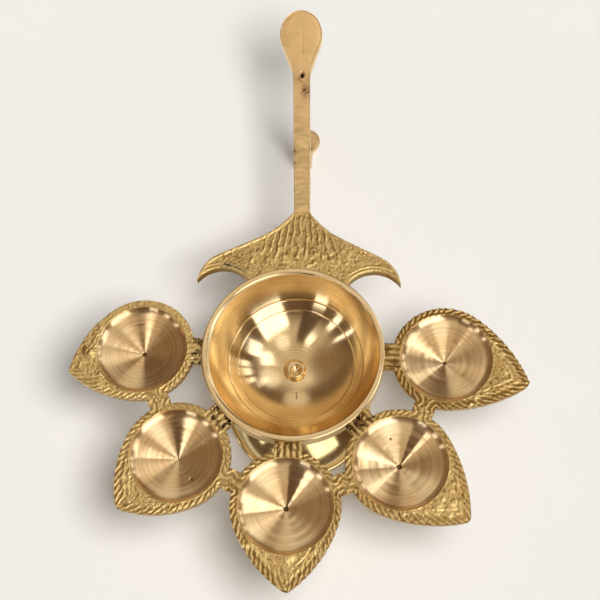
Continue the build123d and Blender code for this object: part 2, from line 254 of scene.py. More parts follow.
def castBrass(name, look):
    # sand-cast brass: granular skin, rubbed bright on its high spots, brown oxide left in the hollows
    material, tree, surface = newFinish(name)
    place = addNode(tree, "TexCoord").outputs["Object"]
    rise, soot = (addNode(tree, "Attribute", attribute_name=mark).outputs["Fac"]
                  for mark in ("rise", "soot"))
    grit = addNode(tree, "TexNoise", {"Vector": place, "Scale": 1 / (look["gritSize"] * mm),
                                      "Detail": 4.0, "Roughness": 0.65}).outputs["Fac"]
    clouds = addNode(tree, "TexNoise", {"Vector": place, "Scale": 1 / (look["cloudSize"] * mm),
                                        "Detail": 3.0}).outputs["Fac"]
    high = addNode(tree, "MapRange", {"Value": rise, "From Min": look["hollow"],
                                      "From Max": look["peak"]}).outputs[0]
    faded = addNode(tree, "MapRange", {"Value": clouds, "From Min": 0.45, "From Max": 0.75,
                                       "To Max": 0.45}).outputs[0]
    tint = colour(look["deep"])
    for cover, shade in ((high, look["bright"]), (faded, look["aged"]), (soot, look["flux"])):
        tint = addNode(tree, "Mix", {"Factor": cover, "A": tint, "B": colour(shade)},
                       data_type="RGBA").outputs["Result"]
    dull = addNode(tree, "MapRange", {"Value": high, "To Min": look["haze"],
                                      "To Max": look["polish"]}).outputs[0]
    rough = addNode(tree, "MapRange", {"Value": soot, "To Min": dull, "To Max": 0.75}).outputs[0]
    pitted = addNode(tree, "Bump", {"Height": grit, "Strength": look["gritBump"], "Distance": 0.12 * mm})
    metal = addNode(tree, "MapRange", {"Value": soot, "To Min": 1.0, "To Max": 0.25}).outputs[0]
    tree.links.new(tint, surface.inputs["Base Color"])
    tree.links.new(rough, surface.inputs["Roughness"])
    tree.links.new(metal, surface.inputs["Metallic"])
    tree.links.new(pitted.outputs["Normal"], surface.inputs["Normal"])
    return material


def filedBrass(name, look):
    # brass dressed with a file: straight scratches across the bar and a soft sheen along it, with painted
    # light that pales the colour toward the tip; the scratches are coarser than real ones, so that they show
    material, tree, surface = newFinish(name)
    place = addNode(tree, "TexCoord").outputs["Object"]
    along, soot = (addNode(tree, "Attribute", attribute_name=mark).outputs["Fac"]
                   for mark in ("along", "soot"))
    long, short = 1 / (look["strokeLength"] * mm), 1 / (look["strokePitch"] * mm)
    stretched = addNode(tree, "Mapping", {"Vector": place, "Scale": (long, short, long)}).outputs["Vector"]
    strokes = addNode(tree, "TexNoise", {"Vector": stretched, "Scale": 1.0, "Detail": 5.0,
                                         "Roughness": 0.7}).outputs["Fac"]
    clouds = addNode(tree, "TexNoise", {"Vector": place, "Scale": 1 / (look["cloudSize"] * mm),
                                        "Detail": 4.0}).outputs["Fac"]
    faded = addNode(tree, "MapRange", {"Value": clouds, "From Min": 0.4, "From Max": 0.75,
                                       "To Max": 0.5}).outputs[0]
    scored = addNode(tree, "MapRange", {"Value": strokes, "From Min": 0.35, "From Max": 0.6, "To Min": 0.2,
                                        "To Max": 0.0}).outputs[0]
    burnt = addNode(tree, "MapRange", {"Value": soot, "From Min": 0.75, "From Max": 0.95}).outputs[0]
    # along blends the root's colour into the paler tip's: random file bands near the root, and painted light
    # that pales the bar toward the thumb rest
    tint = colour(look["root"])
    for cover, shade in ((along, look["tip"]), (faded, look["aged"]), (scored, look["line"]),
                         (soot, look["stain"]), (burnt, look["pit"])):
        tint = addNode(tree, "Mix", {"Factor": cover, "A": tint, "B": colour(shade)},
                       data_type="RGBA").outputs["Result"]
    worn = addNode(tree, "MapRange", {"Value": strokes, "From Min": 0.3, "From Max": 0.7,
                                      "To Min": look["haze"], "To Max": look["polish"]}).outputs[0]
    cut = addNode(tree, "Bump", {"Height": strokes, "Strength": look["strokeBump"], "Distance": 0.05 * mm})
    metal = addNode(tree, "MapRange", {"Value": soot, "To Min": 1.0, "To Max": 0.85}).outputs[0]
    tree.links.new(tint, surface.inputs["Base Color"])
    tree.links.new(worn, surface.inputs["Roughness"])
    tree.links.new(metal, surface.inputs["Metallic"])
    tree.links.new(cut.outputs["Normal"], surface.inputs["Normal"])
    return material


spunBowl = latheBrass("spun brass, buffed", {        # wide soft spokes that swing round the bowl
    "bright": "#F5E0B4", "deep": "#EED3A0", "line": "#B98A52", "ringPitch": 0.6, "ringTint": 0.3,
    "ringBump": 0.12, "cloudSize": 14, "speckSize": 0.6, "polish": 0.12, "haze": 0.18, "spokes": 0.8})
turnedWell = latheBrass("turned brass, form tool", {        # bright and dark wedges from the well's centre
    "bright": "#F6DEB2", "deep": "#ECCB98", "line": "#B5814E", "ringPitch": 0.8, "ringTint": 0.26,
    "ringBump": 0.1, "cloudSize": 9, "speckSize": 0.5, "polish": 0.12, "haze": 0.16, "spokes": 1.0})
turnedFoot = latheBrass("turned brass, polished", {        # a smooth flank that mirrors the paper
    "bright": "#E9D7A6", "deep": "#D6BC80", "line": "#A98B52", "ringPitch": 0.5, "ringTint": 0.15,
    "ringBump": 0.05, "cloudSize": 16, "speckSize": 0.8, "polish": 0.1, "haze": 0.2, "spokes": 0.3})
turnedBolt = latheBrass("turned brass, bright", {        # small hazy glints
    "bright": "#F9E6B8", "deep": "#EECB88", "line": "#A9763C", "ringPitch": 0.3, "ringTint": 0.25,
    "ringBump": 0.1, "cloudSize": 3, "speckSize": 0.4, "polish": 0.2, "haze": 0.32, "spokes": 0.2})
castSkin = castBrass("sand-cast brass, brushed", {        # pale crests over brown hollows
    "bright": "#F0D594", "deep": "#8C662F", "aged": "#C6A05A", "flux": "#1E150F", "hollow": -0.22,
    "peak": 0.16, "gritSize": 0.35, "cloudSize": 5, "gritBump": 0.5, "haze": 0.5, "polish": 0.3})
filedBar = filedBrass("filed brass", {        # a satin sheen; paler toward the thumb rest, which is painted light
    "root": "#DCC493", "tip": "#FFDFA8", "aged": "#DDBF86", "line": "#BC975A",
    "stain": "#7A4A30", "pit": "#20120C", "strokeLength": 4, "strokePitch": 0.5, "cloudSize": 6,
    "strokeBump": 0.35, "haze": 0.46, "polish": 0.34})
brazeBead = castBrass("brazing brass, as run", {        # a dull lumpy bead with dark flux on it
    "bright": "#D8B060", "deep": "#8A6630", "aged": "#6E5230", "flux": "#1E150F", "hollow": -0.2,
    "peak": 0.2, "gritSize": 0.5, "cloudSize": 2, "gritBump": 0.4, "haze": 0.5, "polish": 0.3})
print("finishes made")


# Bowl
bowl = {
    "lipWidth": 2.2, "lipFall": 0.5, "lipRound": 0.4, "depth": 21.0, "wall": 1.8,
    "bandHeight": 6.5, "bandSlope": 40.0, "seatRadius": 9.0, "seatRise": 1.0,
    "headRadius": 4.25, "spotDepth": 0.1, "boreRadius": 2.1,
    "scribedCircles": (21.8, 25.0), "scribeWidth": 0.16, "scribeDepth": 0.09,
    "scratchAngle": -84.0, "scratchWidth": 0.22, "scratchFrom": 8.8, "scratchTo": 12.6,
    "lipWear": 0.04, "columns": 300,
    "lipShift": (0.9, -0.2), "shiftRadii": (12, 26),        # the inside was turned a little off centre
}
floorLevel = rimHeight - bowl["depth"]
lipEdge = (rimRadius - bowl["lipWidth"], rimHeight - bowl["lipFall"])
cupRise = lipEdge[1] - floorLevel
cupRadius = (lipEdge[0] ** 2 + cupRise ** 2) / (2 * cupRise)
cupCentre = floorLevel + cupRadius
shellRadius = cupRadius + bowl["wall"]
seatLevel = floorLevel - bowl["wall"] - bowl["seatRise"]
spotLevel = floorLevel - bowl["spotDepth"]


def shellAt(level):
    return sqrt(shellRadius ** 2 - (cupCentre - level) ** 2)


def makeBowl():
    spotRadius = bowl["headRadius"] + 0.1
    radii = [np.arange(spotRadius, lipEdge[0], 0.4), [lipEdge[0]]]
    radii += [r + np.arange(-0.45, 0.46, 0.075) for r in bowl["scribedCircles"]]
    radius = np.unique(np.round(np.concatenate(radii), 4))
    inside = cupCentre - np.sqrt(cupRadius ** 2 - radius ** 2)
    for circle in bowl["scribedCircles"]:
        inside -= bowl["scribeDepth"] * bump(radius - circle, bowl["scribeWidth"])
    bandFoot = rimHeight - bowl["bandHeight"]
    shellTop = bandFoot - (rimRadius - shellAt(bandFoot)) * tan(radians(bowl["bandSlope"]))
    crest = rimRadius - bowl["lipWidth"] / 2
    lip = softCorners([(radius[-1], inside[-1]), lipEdge, (lipEdge[0] + 0.3, rimHeight - 0.12),
                       (crest, rimHeight + 0.02), (rimRadius, rimHeight - 0.16), (rimRadius, bandFoot),
                       (shellAt(shellTop), shellTop), (shellAt(shellTop - 1), shellTop - 1)],
                      (0, 0.2, 0.6, bowl["lipRound"], 0.5, 0.6), 7)
    levels = np.linspace(shellTop - 1, cupCentre - sqrt(shellRadius ** 2 - bowl["seatRadius"] ** 2), 50)
    outside = np.stack([[shellAt(z) for z in levels], levels], -1)
    seat = softCorners([outside[-1], (bowl["seatRadius"], seatLevel), (bowl["boreRadius"], seatLevel),
                        (bowl["boreRadius"], spotLevel), (spotRadius, spotLevel), (radius[0], inside[0])],
                       (0.3, 0, 0, 0))
    profile = np.concatenate([np.stack([radius, inside], -1), lip[1:], outside[1:], seat[1:-1]])
    rings = lathe(profile, bowl["columns"])
    isInside = np.arange(len(profile)) <= len(radius)
    shift = np.where(isInside, smooth(profile[:, 0], *bowl["shiftRadii"]), 0)
    rings[:, :, 0] += shift[:, None] * bowl["lipShift"][0]
    rings[:, :, 1] += shift[:, None] * bowl["lipShift"][1]
    onLip = (profile[:, 1:] > lipEdge[1] - 0.15) & (profile[:, :1] < rimRadius - 0.05)
    turn = np.linspace(0, 2 * pi, rings.shape[1], endpoint=False) - radians(bowl["scratchAngle"])
    reach = profile[:, :1]
    scratch = bump(reach * np.sin(turn), bowl["scratchWidth"]) * (np.cos(turn) > 0) * isInside[:, None]
    scratch = scratch * smooth(reach, bowl["scratchFrom"], bowl["scratchFrom"] + 0.6)
    scratch = scratch * (1 - smooth(reach, bowl["scratchTo"] - 0.8, bowl["scratchTo"]))
    onBand = (profile[:, 0] > rimRadius - 0.03) & (profile[:, 1] < rimHeight - 0.3)
    onBand &= np.roll(onBand, -1)        # the band that carries the leaves is left as cast
    cup = shell(rings, wrap=True, finish=onBand.astype(int), spin=profile[:, :1],
                rubbed=bowl["lipWear"] * onLip, soot=0.8 * scratch)
    makePiece("lampBowl", [cup], [spunBowl, castSkin], "turned_brass", "bowl")


makeBowl()


# Leaf cups
leaf = {
    "nodes": ("leaf_far_left", "leaf_near_left", "leaf_front", "leaf_near_right", "leaf_far_right"),
    "turns": (20.0, 0.0, 3.0, 6.0, -17.0), "reaches": (28.0, 27.5, 29.5, 31.0, 31.5), "step": 45.0,
    "drop": 1.5, "thickness": 3.2, "border": 2.9, "shoulderAngle": 70.0, "tipRound": 2.0,
    "neckLength": 5.5, "neckWidth": 10.0, "bridgeLength": 8.0,
    "wellRadius": 16.6, "wellDepth": 6.5, "wellShoulder": 2.2, "wellSlope": 18.5,
    "cupFloor": 1.8, "cupTip": 3.0, "columns": 720, "edgeRound": 0.55,
    "strokePitch": 2.7, "strokeReach": 4.4, "strokeHeight": 0.5, "strokeLean": 1.35, "notch": 0.16,
    "strokeSides": ((1.0, 0.15), (1.0, 0.7), (1.0, 1.0), (0.5, 0.6), (1.0, 0.9)),        # left, right of tip
    "chevrons": (3.6, 5.2), "chevronHeight": 0.22, "rippleHeight": 0.06,
    "ribPitch": 2.25, "ribHeight": 0.34, "pinRadii": (0.9, 0.2, 0.95, 0.95, 0.6), "pinDepth": 0.7,
    # wear lifts the far left leaf's tone and dulls the right ones: painted light, for how the light fell on
    # each leaf
    "wear": (0.24, 0.08, 0.0, -0.05, -0.1), "soot": (0.9, 1.0, 0.35, 0.9, 0.3),
    "lumps": (((18.9, 2.4, 1.7, 0.95), (20.6, 0.8, 1.0, 0.5)), ((20.0, -4.0, 1.0, 0.4),),
              ((18.4, 1.1, 1.6, 0.5),), ((22.0, 2.5, 1.0, 0.5), (24.5, -1.0, 0.8, 0.45)),
              ((21.0, -5.0, 0.9, 0.35),)),        # place, size and height of lumps left by the mould
    "pits": ((), ((1.4, 9.3, 0.5),), (), ((-9.0, 4.0, 0.3),), ()),        # place and size, in the wells
}
ringRadius = rimRadius + leaf["neckLength"] + leaf["wellRadius"]
leafTop = rimHeight - leaf["drop"]


def leafEdge(index):        # outline in even steps: angle, radius, whether it is joined there, and travel
    angle = np.linspace(-pi, pi, 9000, endpoint=False)
    back = leaf["wellRadius"] + leaf["border"]
    bend = radians(leaf["shoulderAngle"])
    reach, tipRound = leaf["reaches"][index], leaf["tipRound"]
    start = back * np.array((cos(bend), sin(bend)))
    inward = -start / back
    toStart = start - (reach, 0)
    flankRadius = -(toStart @ toStart) / (2 * inward @ toStart)
    centre = start + flankRadius * inward
    tipCentre = centre[0] + sqrt((flankRadius - tipRound) ** 2 - centre[1] ** 2)
    touch = centre + flankRadius * (np.array((tipCentre, 0)) - centre) / (flankRadius - tipRound)
    fromTip = np.abs((angle - radians(leaf["turns"][index]) + pi) % (2 * pi) - pi)
    toCentre = centre[0] * np.cos(fromTip) + centre[1] * np.sin(fromTip)
    flank = toCentre + np.sqrt(np.maximum(toCentre ** 2 - centre @ centre + flankRadius ** 2, 0))
    offTip = tipCentre * np.sin(fromTip)
    tip = tipCentre * np.cos(fromTip) + np.sqrt(np.maximum(tipRound ** 2 - offTip ** 2, 0))
    edge = np.where(fromTip > bend, back, np.where(fromTip < atan2(touch[1], touch[0]), tip, flank))
    neck = np.where(np.cos(angle) < 0, leaf["neckWidth"] / 2 / np.maximum(np.abs(np.sin(angle)), 1e-6), 0)
    edge = np.maximum(edge, neck)
    half = radians(leaf["step"] / 2)
    middle = ringRadius * cos(half)
    limit = np.full_like(angle, 1e3)
    for side, other in ((-1, index - 1), (1, index + 1)):
        slant = np.cos(angle) * side * sin(half) - np.sin(angle) * cos(half)
        slant = np.where(np.abs(slant) < 1e-9, 1e-9, slant)
        toLine = -ringRadius * side * sin(half) / slant
        toLine = np.where(toLine > 0, toLine, 1e3)
        fromAxis = np.hypot(toLine * np.cos(angle) + ringRadius, toLine * np.sin(angle))
        if 0 <= other < len(leaf["nodes"]):
            onBridge = np.abs(fromAxis - middle) < leaf["bridgeLength"] / 2
            edge = np.where(onBridge, np.maximum(edge, toLine), edge)
        limit = np.minimum(limit, toLine)
    toAxis = -ringRadius * np.cos(angle)
    reached = toAxis ** 2 - ringRadius ** 2 + rimRadius ** 2
    rim = np.where((reached > 0) & (toAxis > 0), toAxis - np.sqrt(np.maximum(reached, 0)), 1e3)
    limit = np.minimum(limit, rim)
    joined = edge >= limit - 1e-6
    edge = np.minimum(edge, limit)
    x, y = edge * np.cos(angle), edge * np.sin(angle)
    travel = np.concatenate([[0], np.cumsum(np.hypot(np.diff(x), np.diff(y)))])
    stops = np.linspace(0, travel[-1], leaf["columns"], endpoint=False)
    return (np.interp(stops, travel, angle), np.interp(stops, travel, edge),
            np.interp(stops, travel, joined.astype(float)) > 0.5, stops)


def wellHeight(index, radius):        # the turned well: a shallow cone with a steeper band at its edge
    slope = radians(leaf["wellSlope"])
    inner = leaf["wellRadius"] - leaf["wellShoulder"]
    foot = np.array((inner, inner * tan(slope) - leaf["wellDepth"]))
    chord = np.array((leaf["wellRadius"], 0)) - foot
    across = np.array((-sin(slope), cos(slope)))
    bendRadius = chord @ chord / (2 * across @ chord)
    centre = foot + bendRadius * across
    shoulder = centre[1] - np.sqrt(np.maximum(bendRadius ** 2 - (radius - centre[0]) ** 2, 0))
    cone = radius * tan(slope) - leaf["wellDepth"]
    pinRadius = leaf["pinRadii"][index]
    pin = leaf["pinDepth"] * (1 - smooth(radius, 0.5 * pinRadius, pinRadius))
    wide = grain(radius, 0 * radius, 1.8, 130 + index) - 0.5
    narrow = grain(radius, 0 * radius, 0.8, 140 + index) - 0.5
    ripple = leaf["rippleHeight"] * 2 * (wide + 0.3 * narrow)        # tool chatter
    return np.where(radius > inner, shoulder, cone) - pin + ripple * smooth(radius, 1, 2.5)


def leafRelief(index, x, y, fromEdge, travel):        # chased and cast ornament on the leaf's border
    rng = np.random.default_rng(40 + index)
    turn = radians(leaf["turns"][index])
    alongTip = x * cos(turn) + y * sin(turn)
    acrossTip = -x * sin(turn) + y * cos(turn)
    fromTip = np.abs(np.arctan2(acrossTip, alongTip))
    radius = np.hypot(x, y)
    relief = sandRelief(x, y, 10 * index)
    left, right = leaf["strokeSides"][index]
    shown = np.where(acrossTip > 0, left, right)
    wander = 1.1 * grain(travel, 0 * travel, 5.0, 70 + index)
    phase = (travel - leaf["strokeLean"] * np.sign(acrossTip) * fromEdge) / leaf["strokePitch"] + wander
    stroke = (0.5 + 0.5 * np.cos(2 * pi * phase)) ** 1.8
    force = 0.45 + 0.55 * grain(np.round(phase), 0 * phase, 0.7, 80 + index)        # no two blows alike
    band = shown * (1 - smooth(fromEdge, 0.6 * leaf["strokeReach"], leaf["strokeReach"]))
    relief = relief * (1 - 0.4 * band) + leaf["strokeHeight"] * force * band * (stroke - 0.45)
    tipSide = 1 - smooth(fromTip, 0.9, 1.35)
    broken = smooth(grain(x, y, 2.2, 95 + index), 0.35, 0.6)
    for line in leaf["chevrons"]:
        wavy = line + 1.0 * (grain(x, y, 2.5, 90 + index) - 0.5)
        relief = relief + leaf["chevronHeight"] * tipSide * broken * bump(fromEdge - wavy, 0.35)
    for k in range(9):
        direction = turn + rng.uniform(-1.1, 1.1)
        out = leaf["wellRadius"] + rng.uniform(0.9, 2.2) + (1.8 if k < 3 else 0)
        size, height = rng.uniform(0.5, 1.1), rng.uniform(0.15, 0.5)
        relief = relief + height * bump(np.hypot(x - out * cos(direction), y - out * sin(direction)), size)
    for px, py, size, height in leaf["lumps"][index]:
        relief = relief + height * bump(np.hypot(x - px, y - py), size)
    neck = (1 - smooth(np.abs(y), leaf["neckWidth"] / 2 - 0.5, leaf["neckWidth"] / 2 + 0.8))
    neck = neck * smooth(-x, leaf["wellRadius"] - 0.6, leaf["wellRadius"] + 0.2)
    ribs = 0.5 + 0.5 * np.cos(2 * pi * (y + 0.15 * index) / leaf["ribPitch"])
    relief = relief * (1 - 0.6 * neck) + leaf["ribHeight"] * neck * (ribs ** 0.6 - 0.55)
    soot = 0 * x
    for k in range(16):
        px = -leaf["wellRadius"] - 5.6 + 4.5 * rng.random() ** 2
        py = rng.uniform(-0.55, 0.55) * leaf["neckWidth"]
        stretch = rng.uniform(0.5, 1.8)
        pit = bump(np.hypot((x - px) * stretch, (y - py) / stretch), rng.uniform(0.35, 1.05))
        pit = pit * smooth(grain(x, y, 0.5, 260 + index), 0.25, 0.6)
        relief = relief - 0.5 * leaf["soot"][index] * pit
        soot = np.maximum(soot, leaf["soot"][index] * pit)
    burr = bump(radius - leaf["wellRadius"] - 0.25, 0.22)
    return relief + 0.12 * burr, np.clip(soot * 1.4, 0, 1)


def makeLeaf(index):
    angle, edge, joined, travel = leafEdge(index)
    free = ~joined
    turn = radians(leaf["turns"][index])
    left, right = leaf["strokeSides"][index]
    shown = np.where(np.sin(angle - turn) > 0, left, right)
    wander = 1.1 * grain(travel, 0 * travel, 5.0, 70 + index)
    notches = (0.5 - 0.5 * np.cos(2 * pi * (travel / leaf["strokePitch"] + wander))) ** 1.4
    rough = 0.14 * grain(travel, 0 * travel, 0.8, 170 + index)
    edge = edge - np.where(free, leaf["notch"] * shown * notches + rough, 0)
    rayX, rayY = np.cos(angle), np.sin(angle)
    edgeX, edgeY = edge * rayX, edge * rayY

    inner = leaf["wellRadius"] - leaf["wellShoulder"]
    wellRows = np.concatenate([[0, 0.3, 0.5, 0.7, 0.9], np.linspace(1.15, inner, 46),
                               np.linspace(inner + 0.2, leaf["wellRadius"], 11)])
    share = np.linspace(0, 1, 44)[1:]
    radius = leaf["wellRadius"] + share[:, None] * (edge - leaf["wellRadius"])
    x, y = radius * rayX, radius * rayY
    fromEdge, nearest = np.empty_like(x), np.empty_like(x)
    for row in range(len(share)):
        gaps = np.hypot(x[row][:, None] - edgeX[free], y[row][:, None] - edgeY[free])
        closest = gaps.argmin(axis=1)
        fromEdge[row] = gaps[np.arange(len(closest)), closest]
        nearest[row] = travel[free][closest]
    relief, soot = leafRelief(index, x, y, fromEdge, nearest)
    settle = smooth(radius - leaf["wellRadius"], 0.0, 0.35)        # flat where it meets the well
    relief = relief * settle
    inset = np.clip(leaf["edgeRound"] - fromEdge, 0, None)
    rounding = leaf["edgeRound"] - np.sqrt(leaf["edgeRound"] ** 2 - np.minimum(inset, leaf["edgeRound"]) ** 2)
    top = relief - rounding

    wellX, wellY = wellRows[:, None] * rayX, wellRows[:, None] * rayY
    wellZ = wellHeight(index, wellRows)[:, None] + 0 * rayX
    wellPit = 0 * wellZ
    for px, py, size in leaf["pits"][index]:
        wellPit = np.maximum(wellPit, bump(np.hypot(wellX - px, wellY - py), size))
    wellZ = wellZ - 0.3 * wellPit
    sideLevels = np.linspace(0.25, 1, 5)
    sideZ = top[-1] + sideLevels[:, None] * (-leaf["thickness"] - top[-1])
    sideInset = 0.15 * grain(travel + 0 * sideZ, 3 * sideZ, 0.9, 200 + index) * free
    under = np.linspace(1, 0, 9)[1:, None]
    underR = leaf["wellRadius"] + under * (edge - leaf["wellRadius"])
    underZ = -leaf["thickness"] + 0.1 * (grain(underR * rayX, underR * rayY, 0.8, 220 + index) - 0.5)
    cupDrop = leaf["wellDepth"] + leaf["cupFloor"] - leaf["thickness"]
    cup = np.linspace(0, 1, 16)[1:, None]
    cupR = leaf["wellRadius"] + cup * (leaf["cupTip"] - leaf["wellRadius"]) + 0 * rayX
    cupSkin = 0.12 * (grain(cupR * rayX, cupR * rayY, 0.9, 240 + index) - 0.5)
    cupZ = -leaf["thickness"] - cup * cupDrop + cupSkin
    bottom = np.array([[1.5], [0.0]]) + 0 * rayX
    bottomZ = -leaf["thickness"] - cupDrop + 0 * bottom
    x = np.concatenate([wellX, x, (edge - sideInset) * rayX, underR * rayX, cupR * rayX, bottom * rayX])
    y = np.concatenate([wellY, y, (edge - sideInset) * rayY, underR * rayY, cupR * rayY, bottom * rayY])
    z = np.concatenate([wellZ, top, sideZ, underZ, cupZ, bottomZ])
    blank = np.zeros((len(z) - len(wellZ) - len(top), len(angle)))
    # the rise carries the relief and the edge rounding, plus each leaf's painted light shift
    rise = np.concatenate([0 * wellZ, relief - 0.5 * rounding + leaf["wear"][index], blank - 0.08])
    sooty = np.concatenate([0 * wellZ, soot, blank])
    pin = 1 - smooth(wellRows, 0.6 * leaf["pinRadii"][index], 1.1 * leaf["pinRadii"][index])
    sooty[:len(wellRows)] = np.maximum(0.85 * pin[:, None], 0.8 * wellPit)
    spin = np.concatenate([np.hypot(wellX, wellY), 0 * top, blank])
    rubbed = 0 * spin        # duller on the well's shoulder, where the tool's edge chattered
    rubbed[:len(wellRows)] = 0.08 * smooth(wellRows, inner - 0.2, inner + 0.4)[:, None]
    finish = np.where(np.arange(len(z)) < len(wellRows) - 1, 0, 1)
    heading = pi + index * radians(leaf["step"])
    placed = np.stack([x * cos(heading) - y * sin(heading) + ringRadius * cos(heading),
                       x * sin(heading) + y * cos(heading) + ringRadius * sin(heading), z + leafTop], -1)
    node = leaf["nodes"][index]
    name = "cup" + "".join(word.title() for word in node.split("_"))
    makePiece(name, [shell(placed, finish=finish, rise=rise, soot=sooty, spin=spin, rubbed=rubbed)],
              [turnedWell, castSkin], "cast_brass", node)


for index in range(len(leaf["nodes"])):
    makeLeaf(index)


# Wing plate
wing = {
    "drop": 2.0, "thickness": 3.5, "span": 38.4, "tipBack": 5.1, "reach": 24.7, "rootAngle": 33.5,
    "shift": 0.8, "seatHalf": (17.5, 19.0),
    "arch": (28.5, 0.1), "cheek": (36.4, 0.9), "shoulder": (29.5, 6.7), "waist": (14.5, 14.3),
    "throat": (8.3, 18.9), "rootHalf": 3.1, "columns": 560, "rows": 120, "edgeRound": 0.5,
    "ribFocus": 92.0, "ribsAt": 46, "ribPitch": 2.55, "ribHeight": 0.42, "ribHalf": (12.5, 16),
    "ribsFrom": (36.5, 40.5), "borderHeight": 0.34, "borderWidth": (0.9, 1.5),
    "lines": (0.8, 2.1), "lineWidth": 0.36, "lineHeight": 0.3, "linesFrom": (18, 20),
    "lumps": 70, "stainStart": (-31, -28), "stainEnd": (-21, -19),
}
wingTop = rimHeight - wing["drop"]
rootRun = rimRadius + wing["reach"]


def behindRim(point):
    return (point[0], rimRadius + point[1])


def wingEdges(x):        # front and rear edge of the plate at each distance across
    across = np.abs(x)
    tip = (wing["span"], rimRadius - wing["tipBack"])
    root = (rimRadius * sin(radians(wing["rootAngle"])), rimRadius * cos(radians(wing["rootAngle"])))
    middle, radius = circleThrough(root, behindRim(wing["arch"]), tip)
    arch = middle[1] + np.sqrt(np.maximum(radius ** 2 - (across - middle[0]) ** 2, 0))
    rim = np.sqrt(np.maximum(rimRadius ** 2 - (x + wing["shift"]) ** 2, 0))
    front = np.where(across < root[0], rim, np.maximum(arch, rim))
    shoulder, waist = behindRim(wing["shoulder"]), behindRim(wing["waist"])
    middle, radius = circleThrough(shoulder, behindRim(wing["cheek"]), tip)
    cheek = middle[1] + np.sqrt(np.maximum(radius ** 2 - (across - middle[0]) ** 2, 0))
    straight = waist[1] + (across - waist[0]) * (shoulder[1] - waist[1]) / (shoulder[0] - waist[0])
    middle, radius = circleThrough(waist, behindRim(wing["throat"]), (wing["rootHalf"], rootRun))
    throat = middle[1] - np.sqrt(np.maximum(radius ** 2 - (across - middle[0]) ** 2, 0))
    rear = np.where(across > shoulder[0], cheek, np.where(across > waist[0], straight, throat))
    rear = np.where(across < wing["rootHalf"], rootRun, rear)
    return front, np.maximum(rear, front)


def makeWing():
    rng = np.random.default_rng(7)
    spread = np.linspace(-1, 1, wing["columns"])
    x = wing["span"] * np.sin(spread * pi / 2)
    front, rear = wingEdges(x)
    share = np.linspace(0, 1, wing["rows"])
    y = front[:, None] + share * (rear - front)[:, None]
    wide = x[:, None] + 0 * y
    fromRear = (rear[:, None] - y) * np.cos(np.arctan(np.gradient(rear, x)))[:, None]
    fromFront = (y - front[:, None]) * np.cos(np.arctan(np.gradient(front, x)))[:, None]
    atRim = 1 - smooth(np.abs(wide), *wing["seatHalf"])
    atRoot = 1 - smooth(np.abs(wide), wing["rootHalf"] - 0.3, wing["rootHalf"] + 0.3)

    relief = 1.1 * sandRelief(wide, y, 300)
    fan = wide * (wing["ribFocus"] - wing["ribsAt"]) / (wing["ribFocus"] - y)
    fan = fan + 1.7 * (grain(wide, y, 3.2, 310) - 0.5)
    ridge = (0.5 + 0.5 * np.cos(2 * pi * fan / wing["ribPitch"] + 2.5 * grain(wide, y, 7.0, 312))) ** 3.5
    field = (1 - smooth(np.abs(fan), *wing["ribHalf"])) * smooth(y, *wing["ribsFrom"])
    field = field * smooth(fromRear, 0.8, 2.2)
    broken = smooth(grain(wide, y, 3.2, 320), 0.25, 0.5)
    force = 0.5 + 0.7 * grain(wide, 0.5 * y, 2.0, 322)
    relief = relief * (1 - 0.2 * field) + wing["ribHeight"] * field * broken * force * (ridge - 0.2)
    relief = relief + wing["borderHeight"] * (1 - smooth(fromRear, *wing["borderWidth"])) * (1 - atRoot)
    outer = smooth(np.abs(wide), *wing["linesFrom"])
    for line in wing["lines"]:
        raised = outer * bump(fromFront - line, wing["lineWidth"])
        relief = relief * (1 - 0.8 * raised) + wing["lineHeight"] * raised
    for k in range(wing["lumps"]):
        px, py = rng.uniform(-19, 19), rng.uniform(35, 43)
        relief = relief + rng.uniform(0.1, 0.4) * bump(np.hypot(wide - px, y - py), rng.uniform(0.45, 0.9))
    stained = smooth(wide, *wing["stainStart"]) * (1 - smooth(wide, *wing["stainEnd"]))
    soot = stained * bump(fromFront - sum(wing["lines"]) / 2, 0.6)        # dark between the two lines
    soot = np.clip(1.2 * soot * (0.3 + 0.9 * smooth(grain(wide, y, 0.8, 330), 0.35, 0.6)), 0, 1)
    relief = relief * (1 - atRim * (1 - smooth(fromFront, 0, 0.5)))
    inset = np.clip(wing["edgeRound"] - fromRear, 0, wing["edgeRound"]) * (1 - atRoot)
    inset = np.maximum(inset, np.clip(wing["edgeRound"] - fromFront, 0, wing["edgeRound"]) * (1 - atRim))
    top = relief - (wing["edgeRound"] - np.sqrt(wing["edgeRound"] ** 2 - inset ** 2))

    rough = 0.2 * grain(x, 0 * x, 0.7, 340)
    y[:, -1] -= rough * (1 - atRoot[:, 0])
    y[:, 0] += np.minimum(rough, rear - front) * (1 - atRim[:, 0])
    down = np.array((0.35, 0.7, 1.0))
    under = np.linspace(1, 0, 16)
    rearWall = top[:, -1:] + down * (-wing["thickness"] - top[:, -1:])
    frontWall = top[:, :1] + down[::-1][1:] * (-wing["thickness"] - top[:, :1])
    underY = y[:, :1] + under * (y[:, -1:] - y[:, :1])
    underZ = -wing["thickness"] + 0.1 * (grain(x[:, None] + 0 * underY, underY, 0.9, 350) - 0.5)
    back = np.concatenate([y, y[:, -1:] + 0 * rearWall, underY[:, 1:], y[:, :1] + 0 * frontWall], axis=1)
    height = np.concatenate([top, rearWall, underZ[:, 1:], frontWall], axis=1)
    rings = np.stack([x[:, None] + 0 * back, back, height], -1)
    rings[0], rings[-1] = rings[0].mean(axis=0), rings[-1].mean(axis=0)
    blank = np.zeros((len(x), rings.shape[1] - y.shape[1]))
    rise = np.concatenate([relief, blank - 0.08], axis=1)
    sooty = np.concatenate([soot, blank], axis=1)
    rings += (wing["shift"], 0, wingTop)
    makePiece("wingPlate", [shell(rings, rise=rise, soot=sooty)], [castSkin], "cast_brass", "wing_plate")


makeWing()


